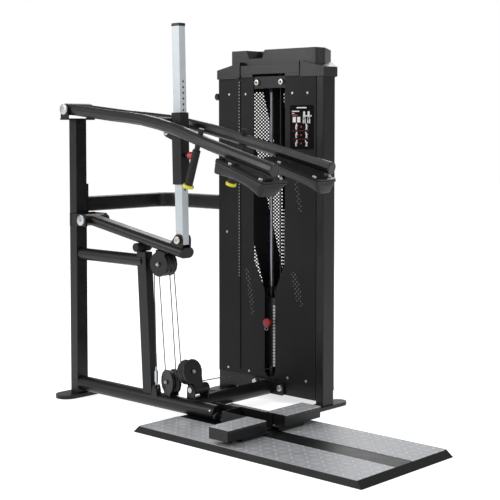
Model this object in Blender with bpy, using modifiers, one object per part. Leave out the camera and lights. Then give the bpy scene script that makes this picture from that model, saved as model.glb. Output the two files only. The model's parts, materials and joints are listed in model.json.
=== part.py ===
"""A standing calf raise machine with a weight stack.

Metres, +Z up. X runs along the floor rail from the rear post to the user's platform, Y runs
across it to the weight tower, and the origin is on the floor under the centre of the rear post.
The shoulder arms and the lower lever turn on the rear post. A slotted column joins them, so the
arms lift the lever, and the lever's two pulleys draw the cable that raises the weight stack.
"""

import math

import bmesh
import bpy
from mathutils import Matrix, Vector

# Clearances
GAP = 0.0003
RUNNING_GAP = 0.0006
WHEEL_SIDE_GAP = 0.0015
MERGE_DISTANCE = 0.00001
AXIS_MARK = 0.05

# Floor plates and the rear post
FOOT_THICKNESS = 0.018
REAR_FOOT_LENGTH = 0.260
REAR_FOOT_WIDTH = 0.116
REAR_FOOT_OFFSET = -0.009
POST_WIDTH = 0.055
POST_DEPTH = 0.068
POST_TOP = 1.388
POST_CORNER = 0.004

# Platform and treads
PLATFORM_BACK = 0.751
PLATFORM_LENGTH = 1.276
PLATFORM_WIDTH = 0.616
PLATFORM_HEIGHT = 0.0282
PLATFORM_END_SLOPE = 0.028
PLATFORM_SIDE_SLOPE = 0.008
TREAD_THICKNESS = 0.0015
LANE_INNER = 0.060

# Floor rail and cross beam
RAIL_RADIUS = 0.036
RAIL_END = 0.972
RAIL_CAP = 0.004
BEAM_X = 0.770
FLANGE_THICKNESS = 0.0097
FLANGE_BACK_X = 0.670
FLANGE_FRONT_X = 0.877
FLANGE_BOTTOM = 0.036
FLANGE_TOP = 0.1045
FLANGE_CORNER = 0.010
FLANGE_BOLT_EDGE = 0.0215
FLANGE_BOLT_DROP = 0.0325

# Lever post
LEVER_POST_WIDTH = 0.060
LEVER_POST_DEPTH = 0.045
LEVER_POST_X = 0.4925
LEVER_POST_LEAN = 0.059
TIE_RADIUS = 0.030
TIE_Z = 0.719
BUMPER_RADIUS = 0.021
BUMPER_LENGTH = 0.090
BUMPER_X = 0.475

# Lower lever, in its own frame from its pivot
LEVER_PIVOT_X = 0.116
LEVER_PIVOT_Z = 0.895
LEVER_SLOPE = math.radians(10.2)
LEVER_WIDTH = 0.085
LEVER_HEIGHT = 0.050
LEVER_HUB_RADIUS = 0.029
LEVER_HUB_LENGTH = 0.1294
LEVER_END_MARGIN = 0.039
LEVER_CAP_THICKNESS = 0.0036
LEVER_STUB_RADIUS = 0.010
COLUMN_PIVOT_ALONG = 0.6346
COLUMN_PIVOT_ABOVE = 0.0532
COLUMN_EAR_RADIUS = 0.0275
COLUMN_EAR_THICKNESS = 0.008
COLUMN_EAR_FRONT = 0.033
COLUMN_BOLT_RADIUS = 0.008
COLUMN_BOLT_HEAD_RADIUS = 0.018
BRACKET_EAR_THICKNESS = 0.010
BRACKET_BASE_THICKNESS = 0.010
BRACKET_HEIGHT = 0.060
BRACKET_REACH = 0.032
BRACKET_EDGE = 0.0015  # how far a plate stands out past the ears on it
DISC_RADIUS = 0.026
DISC_THICKNESS = 0.008

# Column and sleeve, in the column's frame from its pivot
COLUMN_LEAN = math.atan(0.0238)
COLUMN_WIDTH = 0.049
COLUMN_DEPTH = 0.041
COLUMN_WALL = 0.003
COLUMN_CORNER = 0.004
COLUMN_BELOW = 0.022
COLUMN_ABOVE = 0.987
COLUMN_CAP_HEIGHT = 0.005
HOLE_COUNT = 20
HOLE_PITCH = 0.026
HOLE_RADIUS = 0.006
SLEEVE_WALL = 0.0057
SLEEVE_SIDE_WALL = 0.0067
SLEEVE_BELOW_PIN = 0.239
SLEEVE_ABOVE_PIN = 0.090
SLEEVE_EAR_THICKNESS = 0.0062
SLEEVE_EAR_RADIUS = 0.020
SLEEVE_EAR_REACH = 0.035
SLEEVE_CORNER = 0.004
SLEEVE_BOLT_RADIUS = 0.012
SLEEVE_BOLT_HEAD = 0.006
KNOB_BELOW_PIN = 0.107
COLLAR_RADIUS = 0.011
COLLAR_LENGTH = 0.0285
KNOB_RADIUS = 0.018
KNOB_LENGTH = 0.045
KNOB_PIN_RADIUS = 0.004
KNOB_PIN_IN_WALL = 0.0045

# Shoulder arms
ARM_PIVOT_Z = 1.439
ARM_RADIUS = 0.027
ARM_HUB_RADIUS = 0.029
ARM_HUB_LENGTH = 0.153
ARM_SHAFT_RADIUS = 0.0125
ARM_EAR_THICKNESS = 0.008
ARM_EAR_RADIUS = 0.027
ARM_BRACKET_PLATE = 0.0077
ARM_BRACKET_REACH = 0.030
ARM_CAP_THICKNESS = 0.004
ARM_ROUTE = (
    (0.000, 0.047, 0.000),
    (0.327, 0.056, -0.033),
    (0.577, 0.083, -0.054),
    (0.827, 0.112, -0.098),
    (1.077, 0.150, -0.162),
    (1.477, 0.183, -0.262),
)
ARM_PIN_X = 0.675
ARM_PIN_DROP = 0.112
ARM_TIE_RADIUS = 0.016
ARM_TIE_ABOVE_PIN = 0.053
TONGUE_RADIUS = 0.016
HANDLE_RADIUS = 0.0125
HANDLE_Y = 0.136
HANDLE_TOP = (1.0135, -0.094)
HANDLE_END = (0.927, -0.354)
GRIP_RADIUS = 0.0185
GRIP_LENGTH = 0.160
RING_RADIUS = 0.025
RING_LENGTH = 0.015

# Shoulder pads
PAD_X = 1.323
PAD_Y = 0.155
PAD_DROP = 0.267
PAD_PITCH = math.radians(17.3)
PAD_YAW = math.radians(4.8)
PAD_LENGTH = 0.310
PAD_WIDTH = 0.145
PAD_PLATE = 0.006
PAD_BACK_DEPTH = 0.064
PAD_MIDDLE_DEPTH = 0.046
PAD_FRONT_DEPTH = 0.066
PAD_INNER_SLANT = 0.060
PAD_OUTER_SLANT = 0.006
PAD_FRONT_SLANT = 0.010
PAD_EDGE = 0.012
PAD_LEVELS = (-0.25, 0.35)  # heights of the edge loops, from -0.5 at the foot to 0.5 at the plate
PAD_CROWN = 0.06
PAD_SLANT_POWER = 1.5
SADDLE_BACK = -0.130
SADDLE_FRONT = 0.133
SADDLE_HALF_WIDTH = 0.018
SADDLE_SHIFT = 0.015
PAD_BOLT_RADIUS = 0.009
PAD_BOLT_HEAD = 0.006
PAD_BOLT_BACK = -0.073
PAD_BOLT_FRONT = 0.1225
PAD_BOLT_SIDE = 0.055

# Pulleys and cable
CABLE_RADIUS = 0.0025
STRAND_GAP = 0.0008
WHEEL_PITCH_RADIUS = 0.0515
WHEEL_RIM = 0.005
WHEEL_GROOVE = 0.0035
GROOVE_MOUTH = 0.8  # share of the space beside the cable that the groove opens to
WHEEL_WIDTH = 0.034
UPPER_WHEEL_WIDTH = 0.026
UPPER_WHEEL_Y = 0.014
WHEEL_AXLE_RADIUS = 0.006
AXLE_HEAD_RADIUS = 0.011
AXLE_HEAD = 0.005
GUARD_RADIUS = 0.0585
GUARD_THICKNESS = 0.005
GUARD_NECK = 0.030
UPPER_WHEEL_ALONG = 0.532
UPPER_WHEEL_BELOW = 0.0882
HANGER_PLATE = 0.005
LOWER_WHEEL_X = 0.672
LOWER_WHEEL_YAW = math.radians(15.2)
LOWER_BASE_THICKNESS = 0.0044
TOP_WHEEL_PITCH_RADIUS = 0.079
TOP_WHEEL_WIDTH = 0.022
BASE_WHEEL_Y = 0.762
BASE_WHEEL_Z = 0.2035
BASE_CHEEK_RADIUS = 0.020

# Swivel
SWIVEL_X = 0.788
SWIVEL_Z = 0.140
SWIVEL_RADIUS = 0.0255
SWIVEL_LUG_RADIUS = 0.0235
SWIVEL_NEAR_LUG = 0.0115
SWIVEL_NEAR_LUG_THICKNESS = 0.0077
SWIVEL_FAR_LUG = 0.1073
SWIVEL_FAR_LUG_THICKNESS = 0.008
SWIVEL_WHEEL_RISE = 0.0835
SWIVEL_WHEEL_Y = 0.022
SWIVEL_NECK = 0.053
SWIVEL_BOLT_RADIUS = 0.006
SWIVEL_HEAD_RADIUS = 0.013

# Cable anchor
ANCHOR_X = 0.585
ANCHOR_Z = 0.130
ANCHOR_EAR_GAP = 0.018
ANCHOR_EAR_THICKNESS = 0.006
ANCHOR_EAR_RADIUS = 0.012
ANCHOR_PIN_RADIUS = 0.004
ANCHOR_HEAD_RADIUS = 0.007
TURNBUCKLE_LENGTH = 0.096
TURNBUCKLE_BODY_START = 0.024
TURNBUCKLE_BODY_END = 0.077
TURNBUCKLE_RADIUS = 0.0085
TURNBUCKLE_ROD_RADIUS = 0.0045

# Weight tower
TOWER_X = 0.773
TOWER_HALF_WIDTH = 0.345
UPRIGHT_WIDTH = 0.046
TOWER_FRONT = 0.570
UPRIGHT_DEPTH = 0.0835
UPRIGHT_CORNER = 0.006
PANEL_THICKNESS = 0.003
PANEL_TOP = 1.600
TOWER_BASE_BOTTOM = 0.040
TOWER_BASE_TOP = 0.105
TRAY_THICKNESS = 0.020
TOWER_BACK = 0.845
COVER_BACK_HALF_WIDTH = 0.150
COVER_THICKNESS = 0.003
TOWER_FOOT_OFFSET = 0.315
TOWER_FOOT_WIDTH = 0.080
TOWER_FOOT_FRONT = 0.480
TOWER_FOOT_BACK = 0.765
SLOT_BACK_X = 0.669
SLOT_FRONT_X = 0.876
SLOT_SHOULDER_Z = 0.690
SLOT_NECK_Z = 0.548
SLOT_NECK_HALF_WIDTH = 0.0345
SLOT_BOTTOM = 0.114
SLOT_NECK_X = 0.7785
RIB_X = 0.574
RIB_WIDTH = 0.012
RIB_HEIGHT = 0.004
SIDE_KNOB_RADIUS = 0.018
SIDE_KNOB_STEM_RADIUS = 0.009
SIDE_KNOB_STEM = 0.012
SIDE_KNOB_HEIGHT = 0.034
SIDE_KNOB_SETBACK = 0.022
SIDE_KNOB_Z = 1.505

# Top cap
CAP_WALL = 0.004
CAP_OVERHANG = 0.006
CAP_FRONT_REACH = 0.007
CAP_SKIRT_BOTTOM = 1.592
CAP_SKIRT_TOP = 1.638
CAP_WING_PEAK = 1.670
CAP_WING_INNER = 0.204
CAP_MIDDLE_BOTTOM = 1.612
CAP_MIDDLE_TOP = 1.656
CAP_MIDDLE_HALF_WIDTH = 0.200
CAP_UPPER_HALF_WIDTH = 0.2745
CAP_UPPER_SETBACK = 0.030
CAP_TOP = 1.733
CAP_SIDE_BACK = 0.665
CAP_BACK_MARGIN = 0.008
CUP_X = 0.660
CUP_SETBACK = 0.048
CUP_RADIUS = 0.042
CUP_DEPTH = 0.075
POCKET_HALF_WIDTH = 0.062
POCKET_FLOOR_HALF_WIDTH = 0.044
POCKET_DEPTH = 0.042

# Placard and brace
PLACARD_WIDTH = 0.146
PLACARD_HEIGHT = 0.211
PLACARD_THICKNESS = 0.0015
PLACARD_CORNER = 0.006
PLACARD_X = 0.983
PLACARD_Z = 1.3515
BRACE_HEIGHT = 0.076
BRACE_WIDTH = 0.040
BRACE_CORNER = 0.016
BRACE_Z = 0.966
BRACE_X = 0.010
BRACE_Y = 0.600
BRACE_BEND = 0.100
BRACE_PLATE = 0.0117
BRACE_PLATE_HALF_WIDTH = 0.025
BRACE_PLATE_HEIGHT = 0.155
BRACE_PLATE_RISE = 0.0245

# Weight stack
STACK_HALF_WIDTH = 0.170
STACK_FRONT = 0.600
STACK_DEPTH = 0.100
STACK_BOTTOM = 0.162
PLATE_PITCH = 0.0155
PLATE_THICKNESS = 0.0152
PLATE_SEAM = 0.002
LOWER_PLATE_COUNT = 14
UPPER_PLATE_COUNT = 6
GUIDE_ROD_SPACING = 0.120
GUIDE_ROD_RADIUS = 0.009
STACK_ROD_Y = 0.655
CUSHION_RADIUS = 0.022
HEAD_PLATE_HEIGHT = 0.0327
HEAD_BUSH_RADIUS = 0.018
HEAD_BUSH_HEIGHT = 0.050
SELECTOR_ROD_RADIUS = 0.011
STUD_RADIUS = 0.008
STUD_HEIGHT = 0.055
SELECTOR_PIN_RADIUS = 0.005
SELECTOR_KNOB_RADIUS = 0.020
SELECTOR_KNOB_LENGTH = 0.018
SELECTOR_REACH = 0.055
CROSSMEMBER_DEPTH = 0.0467
CROSSMEMBER_BOTTOM = 1.543
MEMBER_BOLT_EDGE = 0.024
ROD_PLATE_THICKNESS = 0.008
ROD_PLATE_HALF_WIDTH = 0.090
ROD_PLATE_BACK = 0.790
TOP_BUSH_RADIUS = 0.017
TOP_BUSH_HEIGHT = 0.025
TOP_WHEEL_Z = 1.620

# Step and its frame
STEP_BACK = 1.217
STEP_FRONT = 1.3255
STEP_INNER = 0.0595
STEP_OUTER = 0.300
STEP_BOTTOM = 0.051
STEP_TOP = 0.100
STEP_LIP = 0.013
STEP_LIP_CORNER = 0.010
CHANNEL_BACK = 1.060
CHANNEL_FRONT = 1.255
CHANNEL_HALF_WIDTH = 0.060
CHANNEL_WALL = 0.006
CHANNEL_FLOOR = 0.0042
CHANNEL_TOP = 0.0985
SOCKET_BACK = 1.265
SOCKET_FRONT = 1.315
SOCKET_INNER = 0.034
SOCKET_OUTER = 0.200
SOCKET_WALL = 0.003
STRAP_BACK = 0.930
STRAP_THICKNESS = 0.006
STRAP_BOTTOM = 0.040
STEP_FOOT_RADIUS = 0.014
STEP_FOOT_X = 1.270
STEP_FOOT_Y = 0.235

# Bolts
BOLT_RADIUS = 0.016
BOLT_HEAD = 0.010

SIDES = (-1, 1)

# Places that follow from the sizes
TREAD_TOP = PLATFORM_HEIGHT + GAP + TREAD_THICKNESS
RAIL_Z = TREAD_TOP + GAP + RAIL_RADIUS
RAIL_TOP = RAIL_Z + RAIL_RADIUS
LEVER_PIVOT = Vector((LEVER_PIVOT_X, 0, LEVER_PIVOT_Z))
LEVER_FRAME = Matrix.Translation(LEVER_PIVOT) @ Matrix.Rotation(LEVER_SLOPE, 4, "Y")
LEVER_LENGTH = COLUMN_PIVOT_ALONG + LEVER_END_MARGIN
COLUMN_PIVOT = LEVER_FRAME @ Vector((COLUMN_PIVOT_ALONG, 0, COLUMN_PIVOT_ABOVE))
COLUMN_FRAME = Matrix.Translation(COLUMN_PIVOT) @ Matrix.Rotation(-COLUMN_LEAN, 4, "Y")
ARM_PIVOT = Vector((0, 0, ARM_PIVOT_Z))
ARM_PIN = Vector((ARM_PIN_X, 0, ARM_PIVOT_Z - ARM_PIN_DROP))
PIN_IN_COLUMN = COLUMN_FRAME.inverted() @ ARM_PIN
SLEEVE_BACK = COLUMN_WIDTH / 2 + GAP + SLEEVE_WALL
SLEEVE_BOTTOM = PIN_IN_COLUMN.z - SLEEVE_BELOW_PIN
SLEEVE_TOP = PIN_IN_COLUMN.z + SLEEVE_ABOVE_PIN
KNOB_HEIGHT = PIN_IN_COLUMN.z - KNOB_BELOW_PIN
COLLAR_END = SLEEVE_BACK + COLLAR_LENGTH
UPPER_WHEEL = LEVER_FRAME @ Vector((UPPER_WHEEL_ALONG, 0, -UPPER_WHEEL_BELOW))
LOWER_BASE_TOP = RAIL_TOP + GAP + LOWER_BASE_THICKNESS
LOWER_WHEEL = Vector((LOWER_WHEEL_X, 0, LOWER_BASE_TOP + GUARD_RADIUS))
LOWER_FRAME = Matrix.Translation(LOWER_WHEEL) @ Matrix.Rotation(-LOWER_WHEEL_YAW, 4, "Z")
UPRIGHT_BACK = TOWER_FRONT + UPRIGHT_DEPTH
PANEL_BACK = TOWER_FRONT + PANEL_THICKNESS
TOWER_LEFT = TOWER_X - TOWER_HALF_WIDTH
TOWER_RIGHT = TOWER_X + TOWER_HALF_WIDTH
INNER_LEFT = TOWER_LEFT + UPRIGHT_WIDTH
INNER_RIGHT = TOWER_RIGHT - UPRIGHT_WIDTH
TRAY_TOP = TOWER_BASE_TOP + GAP
UPRIGHT_TOP = CAP_SKIRT_TOP - CAP_WALL - GAP
STACK_TOP = STACK_BOTTOM + (LOWER_PLATE_COUNT + UPPER_PLATE_COUNT) * PLATE_PITCH
STACK_BACK = STACK_FRONT + STACK_DEPTH
HEAD_BOTTOM = STACK_TOP + GAP
HEAD_TOP = HEAD_BOTTOM + HEAD_PLATE_HEIGHT
STUD_TOP = HEAD_TOP + STUD_HEIGHT
SELECTED_Z = STACK_BOTTOM + LOWER_PLATE_COUNT * PLATE_PITCH + PLATE_THICKNESS / 2
TOP_WHEEL_Y = STACK_ROD_Y + TOP_WHEEL_PITCH_RADIUS
ROD_PLATE_TOP = CROSSMEMBER_BOTTOM + 2 * ROD_PLATE_THICKNESS
ROD_PLATE_BOTTOM = ROD_PLATE_TOP - ROD_PLATE_THICKNESS
ROD_TOP = ROD_PLATE_BOTTOM - TOP_BUSH_HEIGHT - GAP
BEAM_END = TOWER_FRONT - GAP - FLANGE_THICKNESS


def swivel_tilt():
    """Angle of the strand from the swivel's axis to the far side of the upper wheel."""
    across = SWIVEL_X - UPPER_WHEEL.x
    up = UPPER_WHEEL.z - SWIVEL_Z
    distance = math.hypot(across, up)
    return math.atan2(across, up) - math.asin(WHEEL_PITCH_RADIUS / distance)


SWIVEL_TILT = swivel_tilt()
SWIVEL_FRAME = Matrix.Translation((SWIVEL_X, 0, SWIVEL_Z)) @ Matrix.Rotation(-SWIVEL_TILT, 4, "Y")
SWIVEL_WHEEL = SWIVEL_FRAME @ Vector((0, SWIVEL_WHEEL_Y, SWIVEL_WHEEL_RISE))

# Finishes: colour, roughness and metallic value
BLACK_STEEL = ((0.020, 0.020, 0.021), 0.45, 0.0)
BLACK_SHEET = ((0.026, 0.026, 0.027), 0.50, 0.0)
BLACK_PLASTIC = ((0.018, 0.018, 0.019), 0.40, 0.0)
PAD_VINYL = ((0.030, 0.030, 0.031), 0.60, 0.0)
RUBBER = ((0.015, 0.015, 0.015), 0.75, 0.0)
SILVER_TUBE = ((0.560, 0.600, 0.640), 0.35, 0.8)
ZINC = ((0.700, 0.670, 0.600), 0.30, 1.0)
CHROME = ((0.620, 0.640, 0.670), 0.15, 1.0)
CHECKER_PLATE = ((0.560, 0.570, 0.580), 0.35, 0.9)
RED_PLASTIC = ((0.450, 0.015, 0.020), 0.40, 0.0)
CABLE_COAT = ((0.015, 0.015, 0.016), 0.35, 0.0)
PLACARD_PRINT = ((0.012, 0.012, 0.013), 0.30, 0.0)


def clear_scene():
    """Remove what the scene holds before the model is made."""
    for ob in list(bpy.data.objects):
        bpy.data.objects.remove(ob, do_unlink=True)


def collection(name):
    """Return the scene's collection with this name, made if it is missing."""
    found = bpy.data.collections.get(name)
    if found is None:
        found = bpy.data.collections.new(name)
        bpy.context.scene.collection.children.link(found)
    return found


def add_object(name, data):
    """Link new object data into the parts' collection."""
    ob = bpy.data.objects.new(name, data)
    collection("calf_raise_machine").objects.link(ob)
    return ob


def facing_x(origin):
    """Frame whose plane is YZ, so that a slab's thickness runs along X."""
    turn = Matrix(((0, 0, 1), (1, 0, 0), (0, 1, 0))).to_4x4()
    return Matrix.Translation(origin) @ turn


def facing_y(origin):
    """Frame whose plane is XZ, so that a slab's thickness runs along Y."""
    turn = Matrix(((1, 0, 0), (0, 0, -1), (0, 1, 0))).to_4x4()
    return Matrix.Translation(origin) @ turn


def facing_z(origin):
    """Frame whose plane is XY, so that a slab's thickness runs along Z."""
    return Matrix.Translation(origin)


def arc(center, radius, start, end, steps):
    """Points on a circle from one angle to another, in radians."""
    points = []
    for i in range(steps + 1):
        angle = start + (end - start) * i / steps
        points.append((center[0] + radius * math.cos(angle), center[1] + radius * math.sin(angle)))
    return points


def circle(center, radius, steps=16):
    """Points round a circle."""
    return arc(center, radius, 0, 2 * math.pi, steps)[:-1]


def obround(width, height, steps=6):
    """Outline with straight long sides and round ends, centred on zero."""
    radius = min(width, height) / 2
    reach = max(width, height) / 2 - radius
    quarter = math.pi / 2
    if width >= height:
        return (arc((reach, 0), radius, -quarter, quarter, steps)
                + arc((-reach, 0), radius, quarter, 3 * quarter, steps))
    return (arc((0, reach), radius, 0, 2 * quarter, steps)
            + arc((0, -reach), radius, 2 * quarter, 4 * quarter, steps))


def rounded_box(width, height, radius, steps=2):
    """Rectangle with round corners, centred on zero."""
    points = []
    for i in range(4):
        middle = math.pi / 4 + i * math.pi / 2
        corner = (math.copysign(width / 2 - radius, math.cos(middle)),
                  math.copysign(height / 2 - radius, math.sin(middle)))
        points += arc(corner, radius, middle - math.pi / 4, middle + math.pi / 4, steps)
    return points


def rectangle(low, high):
    """Four corners, anticlockwise."""
    return [(low[0], low[1]), (high[0], low[1]), (high[0], high[1]), (low[0], high[1])]


def lug(center, radius, base_from, base_to, steps=6):
    """Straight base joined by tangents to a round end, anticlockwise."""
    def tangent(point, side):
        across = point[0] - center[0]
        up = point[1] - center[1]
        return math.atan2(up, across) + side * math.acos(radius / math.hypot(across, up))
    start = tangent(base_to, 1)
    end = tangent(base_from, -1)
    while end < start:
        end += 2 * math.pi
    return [base_from, base_to] + arc(center, radius, start, end, steps)


def box(low, high, frame=Matrix()):
    """Cuboid between two corners of a frame."""
    low = Vector(low)
    size = Vector(high) - low
    bm = bmesh.new()
    bmesh.ops.create_cube(bm, size=1, matrix=Matrix.Diagonal((*size, 1)))
    mesh = bpy.data.meshes.new("box")
    bm.to_mesh(mesh)
    bm.free()
    ob = add_object("box", mesh)
    ob.matrix_world = frame @ Matrix.Translation(low + size / 2)
    return ob


def rod(start, end, radius, sides=16, frame=Matrix()):
    """Cylinder between two points of a frame."""
    start = Vector(start)
    end = Vector(end)
    bm = bmesh.new()
    bmesh.ops.create_cone(bm, cap_ends=True, segments=sides, radius1=radius, radius2=radius,
                          depth=(end - start).length)
    mesh = bpy.data.meshes.new("rod")
    bm.to_mesh(mesh)
    bm.free()
    ob = add_object("rod", mesh)
    turn = (end - start).to_track_quat("Z", "Y").to_matrix().to_4x4()
    ob.matrix_world = frame @ Matrix.Translation((start + end) / 2) @ turn
    return ob


def mesh_from_curve(ob):
    """Swap a curve object for a closed mesh object in the same place."""
    graph = bpy.context.evaluated_depsgraph_get()
    mesh = bpy.data.meshes.new_from_object(ob.evaluated_get(graph))
    bm = bmesh.new()
    bm.from_mesh(mesh)
    bmesh.ops.remove_doubles(bm, verts=bm.verts, dist=MERGE_DISTANCE)
    bmesh.ops.recalc_face_normals(bm, faces=bm.faces)
    bm.to_mesh(mesh)
    bm.free()
    solid = add_object(ob.name, mesh)
    solid.matrix_world = ob.matrix_world
    bpy.data.objects.remove(ob, do_unlink=True)
    return solid


def add_spline(curve, points, cyclic):
    """Add a straight-sided spline through the points."""
    spline = curve.splines.new("POLY")
    spline.points.add(len(points) - 1)
    for target, point in zip(spline.points, points):
        target.co = (*Vector(point).to_3d(), 1)
    spline.use_cyclic_u = cyclic


def slab(outline, frame, thickness, holes=()):
    """Flat outline, with holes, thickened evenly to both sides of a frame's plane."""
    curve = bpy.data.curves.new("slab", "CURVE")
    curve.dimensions = "2D"
    curve.fill_mode = "BOTH"
    curve.extrude = thickness / 2
    add_spline(curve, outline, True)
    for hole in holes:
        add_spline(curve, hole, True)
    ob = add_object("slab", curve)
    ob.matrix_world = frame
    bpy.context.view_layer.update()
    return mesh_from_curve(ob)


def pipe(points, radius, resolution=2, frame=Matrix()):
    """Round tube along points, with closed ends."""
    curve = bpy.data.curves.new("pipe", "CURVE")
    curve.dimensions = "3D"
    curve.bevel_depth = radius
    curve.bevel_resolution = resolution
    curve.use_fill_caps = True
    add_spline(curve, points, False)
    ob = add_object("pipe", curve)
    ob.matrix_world = frame
    bpy.context.view_layer.update()
    return mesh_from_curve(ob)


def sweep(outline, points):
    """Outline carried along level points, with closed ends."""
    profile = bpy.data.curves.new("profile", "CURVE")
    profile.dimensions = "2D"
    add_spline(profile, outline, True)
    guide = add_object("profile", profile)
    curve = bpy.data.curves.new("sweep", "CURVE")
    curve.dimensions = "3D"
    curve.twist_mode = "Z_UP"
    curve.bevel_mode = "OBJECT"
    curve.bevel_object = guide
    curve.use_fill_caps = True
    add_spline(curve, points, False)
    ob = add_object("sweep", curve)
    bpy.context.view_layer.update()
    solid = mesh_from_curve(ob)
    bpy.data.objects.remove(guide, do_unlink=True)
    return solid


def turned(profile, frame, steps):
    """Closed profile, given as radius and height down its outer side, turned round a frame's Z."""
    mesh = bpy.data.meshes.new("turned")
    count = len(profile)
    mesh.from_pydata([(radius, 0, height) for radius, height in profile],
                     [(i, (i + 1) % count) for i in range(count)], [])
    ob = add_object("turned", mesh)
    ob.matrix_world = frame
    screw = ob.modifiers.new("Screw", "SCREW")
    screw.axis = "Z"
    screw.steps = steps
    screw.render_steps = steps
    screw.use_merge_vertices = True
    screw.merge_threshold = MERGE_DISTANCE
    return settle(ob)


def settle(ob):
    """Replace the object's mesh by its evaluated mesh and drop its modifiers."""
    bpy.context.view_layer.update()
    graph = bpy.context.evaluated_depsgraph_get()
    mesh = bpy.data.meshes.new_from_object(ob.evaluated_get(graph))
    ob.modifiers.clear()
    ob.data = mesh
    return ob


def combine(target, operation, tools):
    """Apply exact Booleans with each tool in turn and remove the tools."""
    for tool in tools:
        boolean = target.modifiers.new(operation, "BOOLEAN")
        boolean.operation = operation
        boolean.solver = "EXACT"
        boolean.object = tool
    settle(target)
    for tool in tools:
        bpy.data.objects.remove(tool, do_unlink=True)
    return target


def fuse(first, *others):
    """Join overlapping solids into one body."""
    return combine(first, "UNION", others)


def cut(target, *tools):
    """Cut solids out of a body."""
    return combine(target, "DIFFERENCE", tools)


def gather(pieces):
    """Put separate solids into one object."""
    bm = bmesh.new()
    for piece in pieces:
        mesh = piece.data
        mesh.transform(piece.matrix_basis)
        bm.from_mesh(mesh)
    mesh = bpy.data.meshes.new("gathered")
    bm.to_mesh(mesh)
    bm.free()
    for piece in pieces:
        bpy.data.objects.remove(piece, do_unlink=True)
    return add_object("gathered", mesh)


def finish(ob, name, look, pivot=(0, 0, 0), parent=None):
    """Name a finished sub-part, set its origin on its axis, its look and its parent."""
    place = Matrix.Translation(pivot)
    ob.data.transform(place.inverted() @ ob.matrix_basis)
    ob.matrix_basis = place
    ob.name = name
    ob.data.name = name
    color, roughness, metallic = look
    material = bpy.data.materials.new(name)
    material.use_nodes = True
    shader = material.node_tree.nodes["Principled BSDF"]
    shader.inputs["Base Color"].default_value = (*color, 1)
    shader.inputs["Roughness"].default_value = roughness
    shader.inputs["Metallic"].default_value = metallic
    material.diffuse_color = (*color, 1)
    ob.data.materials.clear()
    ob.data.materials.append(material)
    ob.data.shade_smooth()
    ob.data.set_sharp_from_angle(angle=math.radians(35))
    attach(ob, parent)
    return ob


def attach(ob, parent):
    """Parent an object and keep it where it stands."""
    if parent is None:
        return
    bpy.context.view_layer.update()
    ob.parent = parent
    ob.matrix_parent_inverse = parent.matrix_world.inverted()


def axis_empty(name, location, parent=None):
    """Empty on a joint's axis that carries the pieces of one moving body."""
    empty = add_object(name, None)
    empty.empty_display_size = AXIS_MARK
    empty.location = location
    attach(empty, parent)
    bpy.context.view_layer.update()
    return empty


def smooth_path(points, steps):
    """Points on a Catmull-Rom curve through the given points."""
    points = [Vector(point) for point in points]
    padded = [2 * points[0] - points[1]] + points + [2 * points[-1] - points[-2]]
    path = [points[0]]
    for a, b, c, d in zip(padded, padded[1:], padded[2:], padded[3:]):
        for i in range(1, steps + 1):
            t = i / steps
            path.append(0.5 * (2 * b + (c - a) * t + (2 * a - 5 * b + 4 * c - d) * t ** 2
                               + (3 * b - a - 3 * c + d) * t ** 3))
    return path


def rail_cutter():
    """Cylinder along the floor rail, a gap larger than it."""
    return rod((0, 0, RAIL_Z), (RAIL_END + RAIL_CAP, 0, RAIL_Z), RAIL_RADIUS + GAP, 24)


def lever_axis_height(x):
    """Height of the lower lever's centre line above a point of the floor."""
    return LEVER_PIVOT_Z - (x - LEVER_PIVOT_X) * math.tan(LEVER_SLOPE)


def bumper_height():
    """Height of the stop's axis, which leaves the lever resting on it."""
    rise = (LEVER_HEIGHT / 2 + GAP + BUMPER_RADIUS) / math.cos(LEVER_SLOPE)
    return lever_axis_height(BUMPER_X) - rise


def lever_post_x(z):
    """Centre of the leaning lever post at a height."""
    return LEVER_POST_X + (TIE_Z - z) * LEVER_POST_LEAN


def tower_foot(side):
    """Plate with round ends that is welded under one upright of the tower."""
    middle = (TOWER_FOOT_FRONT + TOWER_FOOT_BACK) / 2
    place = facing_z((TOWER_X + side * TOWER_FOOT_OFFSET, middle, FOOT_THICKNESS / 2))
    return slab(obround(TOWER_FOOT_WIDTH, TOWER_FOOT_BACK - TOWER_FOOT_FRONT, 8), place,
                FOOT_THICKNESS)


def rear_post():
    """Upright tube welded to its foot plate, with the brackets of the arms and of the lever."""
    foot = slab(obround(REAR_FOOT_WIDTH, REAR_FOOT_LENGTH, 8),
                facing_z((REAR_FOOT_OFFSET, 0, FOOT_THICKNESS / 2)), FOOT_THICKNESS)
    bottom = FOOT_THICKNESS / 2
    post = slab(rounded_box(POST_WIDTH, POST_DEPTH, POST_CORNER),
                facing_z((0, 0, (bottom + POST_TOP) / 2)), POST_TOP - bottom)
    pieces = arm_bracket_pieces() + lever_bracket_pieces()
    finish(fuse(post, foot, *pieces), "rear_post", BLACK_STEEL)


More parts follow.
